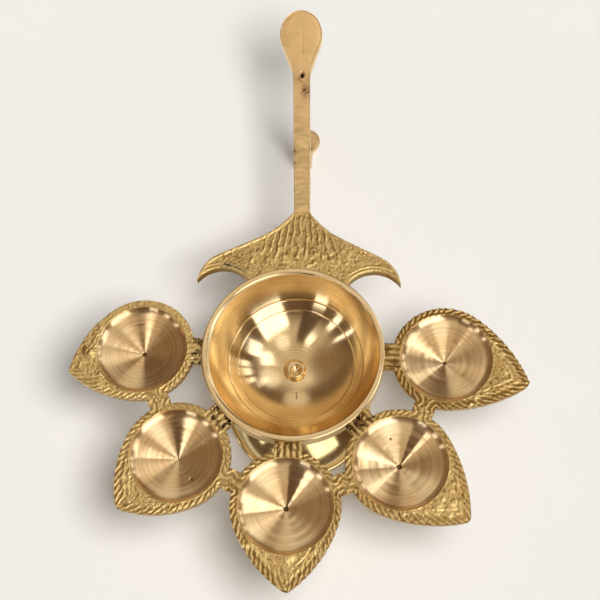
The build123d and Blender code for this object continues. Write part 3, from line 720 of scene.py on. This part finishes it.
# Handle bar with its thumb rest
bar = {
    "rootHalf": 3.1, "neckHalf": 3.4, "thickness": 5.5, "headThickness": 3.2, "startSlope": 4.0,
    "climb": 15.4, "skew": 2.2, "neckRun": 54.8, "throatRun": 58.5, "headRun": 71.28, "headRadius": 8.4,
    "throatBlend": 0.74, "tangLength": 13.0, "tangHalf": 4.5, "edgeRound": 0.45, "crown": 0.14,
    "bevel": 0.35, "bevelWidth": 2.4, "bevelFull": (73, 78),
    "creaseDepth": 0.1, "creaseWidth": 0.3, "creaseStart": (61, 64), "creaseEnd": (73, 76),
    "filedTo": (26, 44), "bandsTo": (30, 50), "paintedSheenFrom": (15, 60),        # runs over which the marks change, and over which the painted light pales the bar
    "pits": ((20.6, 0.45), (25.8, 0.6)), "nickRun": 24, "nickLength": 9, "stainRun": 49.3,
    "peenRun": 0.7, "peenSide": 0.3,        # the hammer drew the tenon's head a little toward the tip
}
handleLength = bar["headRun"] + bar["headRadius"]
bendRun = handleLength + bar["headThickness"]
bendRise = bendRun * tan(radians(bar["climb"]))
underRise = bendRise + bar["thickness"] - bar["headThickness"]
skew = radians(bar["skew"])


def arcRise(run, endRise):        # height of the bar's curve above its start
    start = radians(bar["startSlope"])
    radius = hypot(bendRun, endRise) / (2 * sin(atan2(endRise, bendRun) - start))
    return radius * cos(start) - np.sqrt(radius ** 2 - (run + radius * sin(start)) ** 2)


def barTop(run):
    return wingTop + arcRise(run, bendRise)


def barUnder(run):
    return wingTop - bar["thickness"] + arcRise(run, underRise)


def barHalf(run):        # half the bar's width, seen from above
    strip = bar["rootHalf"] + (bar["neckHalf"] - bar["rootHalf"]) * run / bar["throatRun"]
    flare = asin((bar["headRadius"] - bar["neckHalf"]) / (bar["headRun"] - bar["throatRun"]))
    startRun = bar["throatRun"] - bar["neckHalf"] * sin(flare)
    endRun = bar["headRun"] - bar["headRadius"] * sin(flare)
    line = bar["neckHalf"] * cos(flare) + (run - startRun) * tan(flare)
    gap = np.maximum(bar["throatBlend"] - np.abs(strip - line), 0)
    neck = np.maximum(strip, line) + gap ** 2 / (4 * bar["throatBlend"])
    head = np.sqrt(np.maximum(bar["headRadius"] ** 2 - (run - bar["headRun"]) ** 2, 0))
    return np.where(run > endRun, head, neck)


def onBar(run, side, height):        # from the bar's own run and side to the lamp's frame
    return np.stack([wing["shift"] + side * cos(skew) - run * sin(skew),
                     rootRun + side * sin(skew) + run * cos(skew), height], -1)


def barLoop(half, top, under, corner, across=41):        # closed section: over the top, then back below
    bend = np.linspace(0, pi / 2, 5)[1:]
    inner = half - corner
    overTop = np.linspace(1, -1, across) * inner
    leftSide, leftDrop = -inner - corner * np.sin(bend), top - corner * (1 - np.cos(bend))
    down = np.linspace(top - corner, under + corner, 5)[1:]
    side = np.concatenate([overTop, leftSide, np.full(4, -half), -inner - corner * np.cos(bend),
                           np.linspace(-1, 1, 13)[1:] * inner, inner + corner * np.sin(bend),
                           np.full(4, half), inner + corner * np.cos(bend[:-1])])
    height = np.concatenate([np.full(across, top), leftDrop, down, under + corner * (1 - np.sin(bend)),
                             np.full(12, under), under + corner * (1 - np.cos(bend)), down[::-1],
                             top - corner * (1 - np.sin(bend[:-1]))])
    return side, height


def makeBar():
    straight = np.arange(0, 66, 0.25)
    head = bar["headRun"] + bar["headRadius"] * np.sin(np.linspace(-0.63, pi / 2, 70))
    runs = np.concatenate([straight[straight < head[0]], head])
    rings, along, soot = [], [], []
    for run in runs:
        half = max(float(barHalf(run)), 0.02)
        corner = min(bar["edgeRound"], 0.45 * half)
        top, under = float(barTop(run)), float(barUnder(run))
        side, height = barLoop(half, top, under, corner)
        onTop = height > top - 0.02
        fromEdge = np.minimum(half - np.abs(side), handleLength - run)
        deeper = 0.4 + 0.6 * smooth(run, *bar["bevelFull"])
        bevelled = deeper * smooth(run, bar["throatRun"], bar["headRun"])
        drop = bar["bevel"] * bevelled * (1 - smooth(fromEdge, 0.0, bar["bevelWidth"]))
        creased = smooth(run, *bar["creaseStart"]) * (1 - smooth(run, *bar["creaseEnd"]))
        crease = bar["creaseDepth"] * creased * bump(side - 0.3, bar["creaseWidth"])
        bowed = np.full_like(side, run) + 0.06 * side ** 2        # the file swung a little at each stroke
        filed = 0.12 + 0.38 * (1 - smooth(run, *bar["filedTo"]))
        waves = filed * (grain(0.3 * side, bowed, 0.9, 400) - 0.5) - bar["crown"] * (side / half) ** 2
        fromLeft = side + half
        pits = sum(0.4 * bump(np.hypot((fromLeft - 0.2) * 1.3, run - at), size) for at, size in bar["pits"])
        nicked = bump((run - bar["nickRun"]) / bar["nickLength"], 1) * bump(fromLeft, 0.5)
        nicks = 0.16 * nicked * smooth(grain(0 * side, bowed, 0.7, 405), 0.5, 0.7)
        fromPeen = np.hypot(side - bar["peenSide"], (run - bar["neckRun"] - bar["peenRun"]) / 1.5)
        hole = 1.2 * (1 - smooth(fromPeen, 0.6, 1.3))        # under the tenon's pit
        height = height + np.where(onTop, waves - drop - crease - pits - nicks - hole, 0)
        rings.append(onBar(run, side, height))
        stain = 0.9 * bump((run - bar["stainRun"]) / 1.5, 1.9) * smooth(side, -1.2, 1.0)
        stain = stain + 0.3 * bump((run - bar["neckRun"]) / 1.3, 2.0)
        speckle = 0.45 + 0.55 * smooth(grain(side, np.full_like(side, run), 0.6, 417), 0.3, 0.7)
        soot.append(np.clip(stain * speckle + 2.4 * pits, 0, 1))
        # along: random file bands on the top near the root, plus painted light that pales the bar toward the
        # thumb rest
        bands = onTop * 2.2 * (grain(0.2 * side, bowed, 1.1, 415) - 0.5) * (1 - smooth(run, *bar["bandsTo"]))
        along.append(np.clip(0.25 + bands + 0.75 * smooth(run, *bar["paintedSheenFrom"]), 0, 1))
    along, soot = (np.pad(marks, ((1, 1), (0, 0)), "edge") for marks in (along, soot))
    body = shell(closeEnds(np.array(rings)), along=along, soot=soot)
    tangTop, tangUnder = wingTop - wing["thickness"] - 0.02, wingTop - bar["thickness"]
    side, height = barLoop(bar["tangHalf"], tangTop, tangUnder, 0.4, 15)
    tang = [np.stack([wing["shift"] + side, rootRun + run + 0 * side, height], -1)
            for run in (-bar["tangLength"], 0.05)]
    tang = shell(closeEnds(np.array(tang)))
    makePiece("handleBar", [body, tang], [filedBar], "filed_brass", "handle_bar")


makeBar()


# Leg under the handle's neck, with its pad and the tenon's peened end
leg = {
    "half": 2.3, "depth": 4.2, "lean": 14.0, "kneeHeight": 15.0, "round": 1.2,
    "padRadius": 5.9, "padReach": 3.19, "padThickness": 3.0, "tenonStand": 0.3,
    "peen": ((0.0, -0.85), (0.3, -0.8), (0.5, -0.6), (0.7, -0.3), (0.95, -0.17), (1.3, -0.2),
             (1.6, -0.28), (1.7, -0.36), (1.7, -1.2), (0.0, -1.2)),        # profile of the tenon's end
}


def makeLeg():
    lean = radians(leg["lean"])
    neckRun = bar["neckRun"]
    top = (float(barTop(neckRun)) + float(barUnder(neckRun))) / 2
    upperRadius = (top - leg["kneeHeight"]) / (2 * sin(lean))
    lowerRadius = (leg["kneeHeight"] - leg["depth"] / 2) / (1 - sin(lean))
    toeRun = neckRun + lowerRadius * cos(lean)
    flare = asin((leg["padRadius"] - leg["half"]) / (2 * leg["padReach"]))
    padEnd = toeRun + leg["padReach"] + leg["padRadius"]

    def padHalf(run):
        startRun = toeRun - leg["padReach"] - leg["half"] * sin(flare)
        endRun = toeRun + leg["padReach"] - leg["padRadius"] * sin(flare)
        line = leg["half"] * cos(flare) + (run - startRun) * tan(flare)
        circle = sqrt(max(leg["padRadius"] ** 2 - (run - toeRun - leg["padReach"]) ** 2, 0))
        return circle if run > endRun else max(leg["half"], line)

    path = []        # run, height, direction, half width, half depth
    for turn in np.linspace(0.04, 1, 40):
        heading = -pi / 2 - lean + 2 * lean * turn
        run = neckRun + upperRadius * (sin(heading) - sin(-pi / 2 - lean))
        height = top - upperRadius * (cos(heading) - cos(-pi / 2 - lean))
        path.append((run, height, heading, leg["half"], leg["depth"] / 2))
    for turn in np.linspace(0, 1, 40)[1:]:
        heading = -pi / 2 + lean + (pi / 2 - lean) * turn
        run = neckRun + lowerRadius * (sin(heading) - sin(-pi / 2 + lean))
        height = leg["kneeHeight"] - lowerRadius * (cos(heading) - cos(-pi / 2 + lean))
        thinned = smooth(run, toeRun - 7, toeRun) * (leg["depth"] - leg["padThickness"]) / 2
        path.append((run, height - thinned, heading, padHalf(run), leg["depth"] / 2 - thinned))
    reach = padEnd - toeRun
    for turn in np.linspace(0, pi / 2, 40)[1:]:
        run = toeRun + reach * sin(turn)
        path.append((run, leg["padThickness"] / 2, 0.0, max(padHalf(run), 0.03), leg["padThickness"] / 2))
    rings = []
    for run, height, heading, half, depth in path:
        side, lift = barLoop(half, depth, -depth, min(leg["round"], 0.8 * half, 0.8 * depth), 15)
        lift = lift + 0.05 * (grain(side, np.full_like(side, run + height), 1.5, 420) - 0.5) * (height > 4)
        level = np.maximum(height + lift * cos(heading), tableLevel)
        rings.append(onBar(run - lift * sin(heading), side, level))
    # along 0.6 gives the leg a paler tone than the bar's root: painted light that lifts it out of the shade
    # under the bar
    body = shell(closeEnds(np.array(rings)), along=0.6, soot=0.0)
    head = np.array(leg["peen"]) + (0, float(barTop(neckRun)) + leg["tenonStand"])
    peened = lathe(head, 40)
    peened[:, :, 1] *= 1.5 + 0.4 * (peened[:, :, 1] > 0)        # hammered to a teardrop
    middle = onBar(neckRun + bar["peenRun"], bar["peenSide"], 0.0)
    dark = np.clip(1.9 - head[:, :1] / 0.55, 0.12, 1)
    tenon = shell(peened + (middle[0], middle[1], 0), along=0.6, soot=dark)
    makePiece("handleLeg", [body, tenon], [filedBar], "filed_brass", "handle_leg")


makeLeg()


# Pedestal foot and stem
foot = {
    "radius": 30.0, "height": 20.0, "beadHeight": 3.0, "beadWidth": 2.2, "beadRound": 1.0, "ringWidth": 4.2,
    "crownRadius": 10.0, "crownRise": 1.5, "crownThickness": 3.0, "bellSlope": 52.0, "bore": 2.1,
    "columns": 280,
}
stem = {"flangeRadius": 9.0, "flangeHeight": 2.0, "waistRadius": 4.6, "knopRadius": 8.0, "knopHeight": 7.0,
        "columns": 160}


def makeFoot():
    beadTop = (foot["radius"] - foot["beadWidth"], foot["beadHeight"])
    crownEdge = (foot["crownRadius"], foot["height"] - foot["crownRise"])
    middle = ((beadTop[0] + crownEdge[0]) / 2, (beadTop[1] + crownEdge[1]) / 2)
    slope = radians(foot["bellSlope"])
    flank = tangentArc(beadTop, (-cos(slope), sin(slope)), middle, 40)
    crown = tangentArc(middle, flank[-1] - flank[-2], crownEdge, 40)
    hollow = foot["radius"] - foot["ringWidth"]
    inside = foot["height"] - foot["crownThickness"]
    outer = softCorners([(hollow, foot["beadHeight"]), (hollow, 0), (foot["radius"], 0),
                         (foot["radius"], foot["beadHeight"]), beadTop],
                        (0.4, 0.5, foot["beadRound"] * 1.3), 8)
    top = softCorners([crownEdge, (foot["crownRadius"], foot["height"]), (foot["bore"], foot["height"]),
                       (foot["bore"], inside), (foot["crownRadius"], inside)], (0.5, 0, 0))
    slant = np.linspace((foot["crownRadius"], inside), (hollow, foot["beadHeight"]), 30)
    profile = np.concatenate([outer, flank[1:], crown[1:], top[1:], slant[1:-1]])
    bell = shell(lathe(profile, foot["columns"])[::-1], wrap=True, spin=profile[::-1, :1])
    makePiece("pedestalFoot", [bell], [turnedFoot], "turned_brass", "pedestal_foot")


def makeStem():
    low, high = foot["height"], seatLevel
    cove = stem["flangeRadius"] - stem["waistRadius"]
    turn = np.linspace(0, pi / 2, 16)
    lowCove = np.stack([stem["flangeRadius"] - cove * np.sin(turn),
                        low + stem["flangeHeight"] + cove * (1 - np.cos(turn))], -1)
    middle, halfKnop = (low + high) / 2, stem["knopHeight"] / 2
    centre, radius = circleThrough((stem["waistRadius"], middle - halfKnop), (stem["knopRadius"], middle),
                                   (stem["waistRadius"], middle + halfKnop))
    bend = asin(halfKnop / radius)
    if centre[0] > stem["waistRadius"]:
        bend = pi - bend
    sweep = np.linspace(-bend, bend, 30)
    knop = np.stack([centre[0] + radius * np.cos(sweep), middle + radius * np.sin(sweep)], -1)
    lower = softCorners([(foot["bore"], low), (stem["flangeRadius"], low),
                         (stem["flangeRadius"], low + stem["flangeHeight"])], (0.3,))
    profile = np.concatenate([lower, lowCove[1:], knop])
    mirrored = np.stack([profile[:, 0], low + high - profile[:, 1]], -1)[::-1]
    profile = np.concatenate([profile, mirrored[len(knop):]])
    spindle = shell(lathe(profile, stem["columns"])[::-1], wrap=True, spin=profile[::-1, 1:])
    makePiece("pedestalStem", [spindle], [turnedFoot], "turned_brass", "stem")


makeFoot()
makeStem()


# Centre bolt, washer and nut
bolt = {
    "radius": 2.0, "headRadius": 4.25, "headHeight": 2.3, "headEdge": 0.6, "dimpleRadius": 2.2,
    "dimpleDepth": 1.3, "dimpleSag": 0.25, "dimpleShift": (0.5, -0.5), "washerRadius": 5.5,
    "washerThickness": 1.2, "nutWidth": 7.0, "nutHeight": 3.2, "end": 1.5, "endBevel": 0.4,
    "threadPitch": 0.7, "threadDepth": 0.3, "columns": 96,
}
nutTop = foot["height"] - foot["crownThickness"] - bolt["washerThickness"]


def makeBolt():
    headTop = spotLevel + bolt["headHeight"]
    tip = nutTop - bolt["nutHeight"] - bolt["end"]
    dome = tangentArc((bolt["headRadius"], spotLevel + bolt["headEdge"]), (0, 1),
                      (bolt["dimpleRadius"], headTop), 24)
    reach = np.linspace(0, 1, 16)[:, None]
    dimple = reach * (bolt["dimpleRadius"], bolt["dimpleDepth"]) + (0, headTop - bolt["dimpleDepth"])
    dimple[:, 1] -= bolt["dimpleSag"] * np.sin(pi * reach[:, 0])
    shank = np.stack([np.full(120, bolt["radius"]), np.linspace(spotLevel, tip + bolt["endBevel"], 120)], -1)
    low = np.arange(nutTop, tip + bolt["endBevel"], -0.06)
    thread = np.stack([np.full_like(low, bolt["radius"]), low], -1)
    profile = np.concatenate([dimple, dome[::-1][1:], [(bolt["headRadius"], spotLevel)],
                              shank[shank[:, 1] > nutTop], thread,
                              [(bolt["radius"] - bolt["endBevel"], tip), (0, tip)]])
    rings = lathe(profile, bolt["columns"])
    turn = np.linspace(0, 1, bolt["columns"], endpoint=False)
    isThread = (profile[:, 1] <= nutTop) & (profile[:, 0] == bolt["radius"])
    wave = np.abs(((profile[:, 1:] / bolt["threadPitch"] + turn) % 1) - 0.5) * 2
    squeeze = 1 - isThread[:, None] * bolt["threadDepth"] * (1 - wave) / bolt["radius"]
    rings[:, :, :2] *= squeeze[:, :, None]
    isHead = profile[:, 1] > spotLevel + bolt["headEdge"] - 0.01
    shift = np.where(isHead, 1 - smooth(profile[:, 0], bolt["dimpleRadius"], bolt["headRadius"]), 0)[:, None]
    rings[:, :, 0] += shift * bolt["dimpleShift"][0]
    rings[:, :, 1] += shift * bolt["dimpleShift"][1]
    dark = 0.7 * isHead * bump(profile[:, 0] - bolt["dimpleRadius"], 0.16)        # round the dimple
    screw = shell(rings, spin=profile[:, :1], soot=dark[:, None])
    makePiece("centreBolt", [screw], [turnedBolt], "fastener_brass", "centre_bolt")


def makeWasher():
    low, high = nutTop, nutTop + bolt["washerThickness"]
    inner, outer = foot["bore"], bolt["washerRadius"]
    middle = (low + high) / 2
    profile = softCorners([(inner, middle), (inner, high), (outer, high), (outer, low), (inner, low),
                           (inner, middle - 0.01)], (0.15, 0.25, 0.25, 0.15))
    disc = shell(lathe(profile, bolt["columns"]), wrap=True, spin=profile[:, :1])
    makePiece("boltWasher", [disc], [turnedBolt], "fastener_brass", "bolt_washer")


def makeNut():
    turn = np.linspace(0, 2 * pi, 144, endpoint=False)
    flat = bolt["nutWidth"] / 2
    hexagon = flat / np.cos((turn + pi / 6) % (pi / 3) - pi / 6)
    low, high = nutTop - bolt["nutHeight"], nutTop
    chamfer = (hexagon - flat) * tan(radians(30)) + 0.15
    inner = foot["bore"] + 0 * turn
    circle = flat - 0.1 + 0 * turn
    radius = np.stack([inner, circle, hexagon, hexagon, circle, inner])
    top, bottom = high + 0 * turn, low + 0 * turn
    height = np.stack([top, top, high - chamfer, low + chamfer, bottom, bottom])
    rings = np.stack([radius * np.cos(turn), radius * np.sin(turn), height], -1)
    makePiece("boltNut", [shell(rings, wrap=True, spin=radius)], [turnedBolt], "fastener_brass", "bolt_nut")


makeBolt()
makeWasher()
makeNut()


# Braze fillets under the leaf necks and the wing plate
braze = {"leg": 1.3, "inset": 3.0}


def brazeRun(under, middle, spread, seed):        # one lumpy bead along the bowl's band
    steps = np.linspace(-1, 1, 70)
    turn = radians(middle) + steps * radians(spread) / 2
    lump = 0.72 + 0.28 * grain(steps * spread * rimRadius / 110, 0 * steps, 1.1, seed)
    size = braze["leg"] * lump * np.sqrt(np.clip(1 - steps ** 8, 0.0, 1))
    bend = np.linspace(0, pi / 2, 9)
    sag = 1 - 0.25 * np.sin(2 * bend)
    out = np.concatenate([np.cos(bend) * sag, [0.0]])
    drop = np.concatenate([np.sin(bend) * sag, [0.0]])
    radius = rimRadius - 0.02 + size[:, None] * out
    height = under + 0.02 - size[:, None] * drop
    rings = np.stack([radius * np.cos(turn)[:, None], radius * np.sin(turn)[:, None], height], -1)
    flux = 0.5 * smooth(grain(steps * 9, 0 * steps, 1.0, seed + 1), 0.5, 0.75)
    return shell(rings[:, ::-1], rise=0.3 * (lump[:, None] - 0.85), soot=flux[:, None])


neckSpread = degrees(2 * asin(leaf["neckWidth"] / 2 / rimRadius)) - braze["inset"]
leafBeads = [brazeRun(leafTop - leaf["thickness"], 180 + k * leaf["step"], neckSpread, 500 + k)
             for k in range(len(leaf["nodes"]))]
makePiece("leafBraze", leafBeads, [brazeBead], "braze", "leaf_braze")
wingBead = brazeRun(wingTop - wing["thickness"], 90, 2 * wing["rootAngle"] - braze["inset"], 520)
makePiece("wingBraze", [wingBead], [brazeBead], "braze", "wing_braze")


# Floor, light and camera
stage = {"floorColour": "#F1EDE7", "floorRadius": 1300, "sweepRadius": 300, "wallHeight": 700,
         "worldColour": "#E6EDF6", "worldStrength": 0.07}
tent = {"radius": 1150, "wall": "#624C39", "ceiling": "#D0BFAB", "turnsAt": (0.6, 0.84)}
# soft patches on the tent: azimuth, height angle, full and fading radius, colour, brightness
patches = (
    (-50, 70, 5, 11, "#FFFAF2", 1.4),
    (52, 51, 5, 15, "#FFF6EA", 1.1),
    (112, 62, 7, 18, "#F2E6D6", 1.0),
    (97, 34, 6, 15, "#E0D2C0", 1.0),
    (165, 50, 5, 26, "#8C745D", 1.0),
)
# name, azimuth, height angle, distance, width, height, brightness
softboxes = (
    ("frontRight", -52, 34, 900, 600, 620, 2.4),
    ("frontLeft", -119, 20, 900, 220, 400, 2.2),
    ("left", -146, 27, 900, 110, 360, 2.2),
    ("leftThin", -166, 24, 900, 60, 480, 2.0),
    ("right", -3, 37, 900, 270, 320, 2.0),
    ("rightLowA", 20, 20, 900, 100, 260, 2.0),
    ("rightLowB", 30, 20, 900, 130, 260, 2.0),
    ("rightLowC", 41, 21, 900, 90, 260, 1.8),
    ("backA", 50, 36, 950, 120, 340, 0.7),
    ("topRight", 14, 57, 950, 270, 270, 1.6),
    ("topLeft", -138, 62, 950, 150, 200, 1.8),
)
floorKey = {"place": (86, -116, 460), "radius": 72, "power": 65.4, "evenTo": 640, "wallAt": 1300,
            "wallShare": 0.66, "colour": "#FCFDFF"}        # lights only the paper
flag = {"azimuth": -114, "height": 48, "distance": 500, "topWidth": 90, "footWidth": 250, "tall": 470,
        "colour": "#5A4636"}        # dark card, narrow at its top


def direction(azimuth, height):        # unit vector from two angles in degrees
    a, e = radians(azimuth), radians(height)
    return Vector((cos(a) * cos(e), sin(a) * cos(e), sin(e)))


def standRound(thing, azimuth, height, distance):        # put a light or card there, facing the leaves
    aim = Vector((0, 0, leafTop * mm))
    thing.location = aim + distance * mm * direction(azimuth, height)
    thing.rotation_mode = "QUATERNION"
    thing.rotation_quaternion = (aim - thing.location).to_track_quat("-Z", "Y")
    bpy.context.scene.collection.objects.link(thing)


def turnedSheet(name, profile, columns, order=1):        # paper or cloth swept round the lamp
    rings = lathe(profile, columns)[::order] * mm
    number = np.arange(rings.size // 3).reshape(rings.shape[:2])
    beside = np.roll(number, -1, axis=1)
    quads = np.stack([number[:-1], number[1:], beside[1:], beside[:-1]], -1).reshape(-1, 4)
    mesh = bpy.data.meshes.new(name)
    mesh.from_pydata(rings.reshape(-1, 3).tolist(), [], quads.tolist())
    return mesh


def makeStage():
    width, sweep = stage["floorRadius"], stage["sweepRadius"]
    profile = [(0, 0), (width - sweep, 0)]
    for turn in np.linspace(0, pi / 2, 12)[1:]:
        profile.append((width - sweep * (1 - sin(turn)), sweep * (1 - cos(turn))))
    profile.append((width, stage["wallHeight"]))
    mesh = turnedSheet("paperSweep", profile, 96, -1)
    mesh.shade_smooth()
    material, _, surface = newFinish("matt paper")        # one even pale tone with no gloss
    surface.inputs["Metallic"].default_value = 0.0
    surface.inputs["Roughness"].default_value = 0.9
    surface.inputs["Base Color"].default_value = colour(stage["floorColour"])
    mesh.materials.append(material)
    floor = bpy.data.objects.new("paperSweep", mesh)
    bpy.context.scene.collection.objects.link(floor)


def makeLights():
    world = bpy.data.worlds.new("studio")
    bpy.context.scene.world = world
    world.use_nodes = True
    background = world.node_tree.nodes["Background"]
    background.inputs["Color"].default_value = colour(stage["worldColour"])
    background.inputs["Strength"].default_value = stage["worldStrength"]
    for name, azimuth, height, distance, width, tall, brightness in softboxes:
        light = bpy.data.lights.new(name, "AREA")
        light.shape = "RECTANGLE"
        light.size, light.size_y = width * mm, tall * mm
        light.energy = brightness * pi * light.size * light.size_y        # watts that give this radiance
        lamp = bpy.data.objects.new(name, light)
        standRound(lamp, azimuth, height, distance)
        lamp.visible_camera = False
        lamp.visible_diffuse = False        # the boxes light only the metal
    key = bpy.data.lights.new("floorKey", "POINT")
    key.shadow_soft_size = floorKey["radius"] * mm
    key.energy = floorKey["power"]
    key.color = colour(floorKey["colour"])[:3]
    key.use_nodes = True
    tree = key.node_tree
    away = addNode(tree, "LightPath").outputs["Ray Length"]
    near, wall = floorKey["evenTo"] * mm, floorKey["wallAt"] * mm
    fading = addNode(tree, "MapRange", {"Value": away, "From Min": near, "From Max": wall, "To Min": near,
                                        "To Max": floorKey["wallShare"] * near}).outputs[0]
    share = addNode(tree, "Math", {0: away, 1: fading}, operation="MINIMUM").outputs[0]
    # the same light all over the paper, and less on the wall behind it
    even = addNode(tree, "LightFalloff", {"Strength": share}).outputs["Constant"]
    tree.links.new(even, tree.nodes["Emission"].inputs["Strength"])
    lamp = bpy.data.objects.new("floorKey", key)
    lamp.location = Vector(floorKey["place"]) * mm
    lamp.visible_camera = False
    lamp.visible_glossy = False
    bpy.context.scene.collection.objects.link(lamp)


view = {"place": (21.1, -127.0, 418.6), "aim": (1.7, 21.2, 70.0), "roll": -5.4, "lens": 61.02, "sensor": 36.0}


def makeCamera():
    camera = bpy.data.cameras.new("photoView")
    camera.lens, camera.sensor_width = view["lens"], view["sensor"]
    camera.clip_start, camera.clip_end = 0.01, 20
    holder = bpy.data.objects.new("photoView", camera)
    place, aim = Vector(view["place"]) * mm, Vector(view["aim"]) * mm
    turned = (aim - place).to_track_quat("-Z", "Y").to_matrix()
    turned = turned @ Matrix.Rotation(radians(view["roll"]), 3, "Z")
    holder.matrix_world = Matrix.Translation(place) @ turned.to_4x4()
    bpy.context.scene.collection.objects.link(holder)
    bpy.context.scene.camera = holder


def glowingFinish(name):        # gives off its own tone and mirrors nothing
    material, tree, surface = newFinish(name)
    surface.inputs["Metallic"].default_value = 0.0
    surface.inputs["Roughness"].default_value = 1.0
    surface.inputs["Base Color"].default_value = (0, 0, 0, 1)
    surface.inputs["Emission Strength"].default_value = 1.0
    material.cycles.emission_sampling = "NONE"
    return material, tree, surface


def onlyInMetal(thing):        # seen in the metal and nowhere else
    thing.visible_camera = False
    thing.visible_diffuse = False
    thing.visible_shadow = False


def makeTent():
    profile = [(tent["radius"] * sqrt(1 - h * h), 4 + tent["radius"] * h) for h in np.linspace(0.0, 1, 25)]
    mesh = turnedSheet("reflectionTent", profile, 64)
    material, tree, surface = glowingFinish("tent cloth")        # brown walls and a pale ceiling in the metal
    place = addNode(tree, "TexCoord").outputs["Object"]
    level = addNode(tree, "SeparateXYZ", {"Vector": place}).outputs["Z"]
    low, high = (share * tent["radius"] * mm for share in tent["turnsAt"])
    overhead = addNode(tree, "MapRange", {"Value": level, "From Min": low, "From Max": high}).outputs[0]
    cloth = addNode(tree, "Mix", {"Factor": overhead, "A": colour(tent["wall"]),
                                  "B": colour(tent["ceiling"])}, data_type="RGBA").outputs["Result"]
    toward = addNode(tree, "VectorMath", {0: place}, operation="NORMALIZE").outputs["Vector"]
    for azimuth, height, full, fade, shade, brightness in patches:
        facing = addNode(tree, "VectorMath", {0: toward, 1: direction(azimuth, height)},
                         operation="DOT_PRODUCT").outputs["Value"]
        cover = addNode(tree, "MapRange", {"Value": facing, "From Min": cos(radians(fade)),
                                           "From Max": cos(radians(full))},
                        interpolation_type="SMOOTHSTEP").outputs[0]
        glow = [brightness * part for part in colour(shade)]
        cloth = addNode(tree, "Mix", {"Factor": cover, "A": cloth, "B": glow},
                        data_type="RGBA").outputs["Result"]
    tree.links.new(cloth, surface.inputs["Emission Color"])
    mesh.materials.append(material)
    dome = bpy.data.objects.new("reflectionTent", mesh)
    onlyInMetal(dome)
    bpy.context.scene.collection.objects.link(dome)


def makeFlag():
    mesh = bpy.data.meshes.new("flagCard")
    wide, narrow, tall = flag["footWidth"] / 2, flag["topWidth"] / 2, flag["tall"] / 2
    corners = [(-wide, -tall, 0), (wide, -tall, 0), (narrow, tall, 0), (-narrow, tall, 0)]
    mesh.from_pydata([Vector(c) * mm for c in corners], [], [(3, 2, 1, 0)])
    material, _, surface = glowingFinish("black felt")        # a dark streak in the metal
    surface.inputs["Emission Color"].default_value = colour(flag["colour"])
    mesh.materials.append(material)
    card = bpy.data.objects.new("flagCard", mesh)
    standRound(card, flag["azimuth"], flag["height"], flag["distance"])
    onlyInMetal(card)


makeStage()
makeLights()
makeTent()
makeFlag()
makeCamera()
bpy.context.scene.view_settings.view_transform = "Standard"
print("stage, lights and camera set")
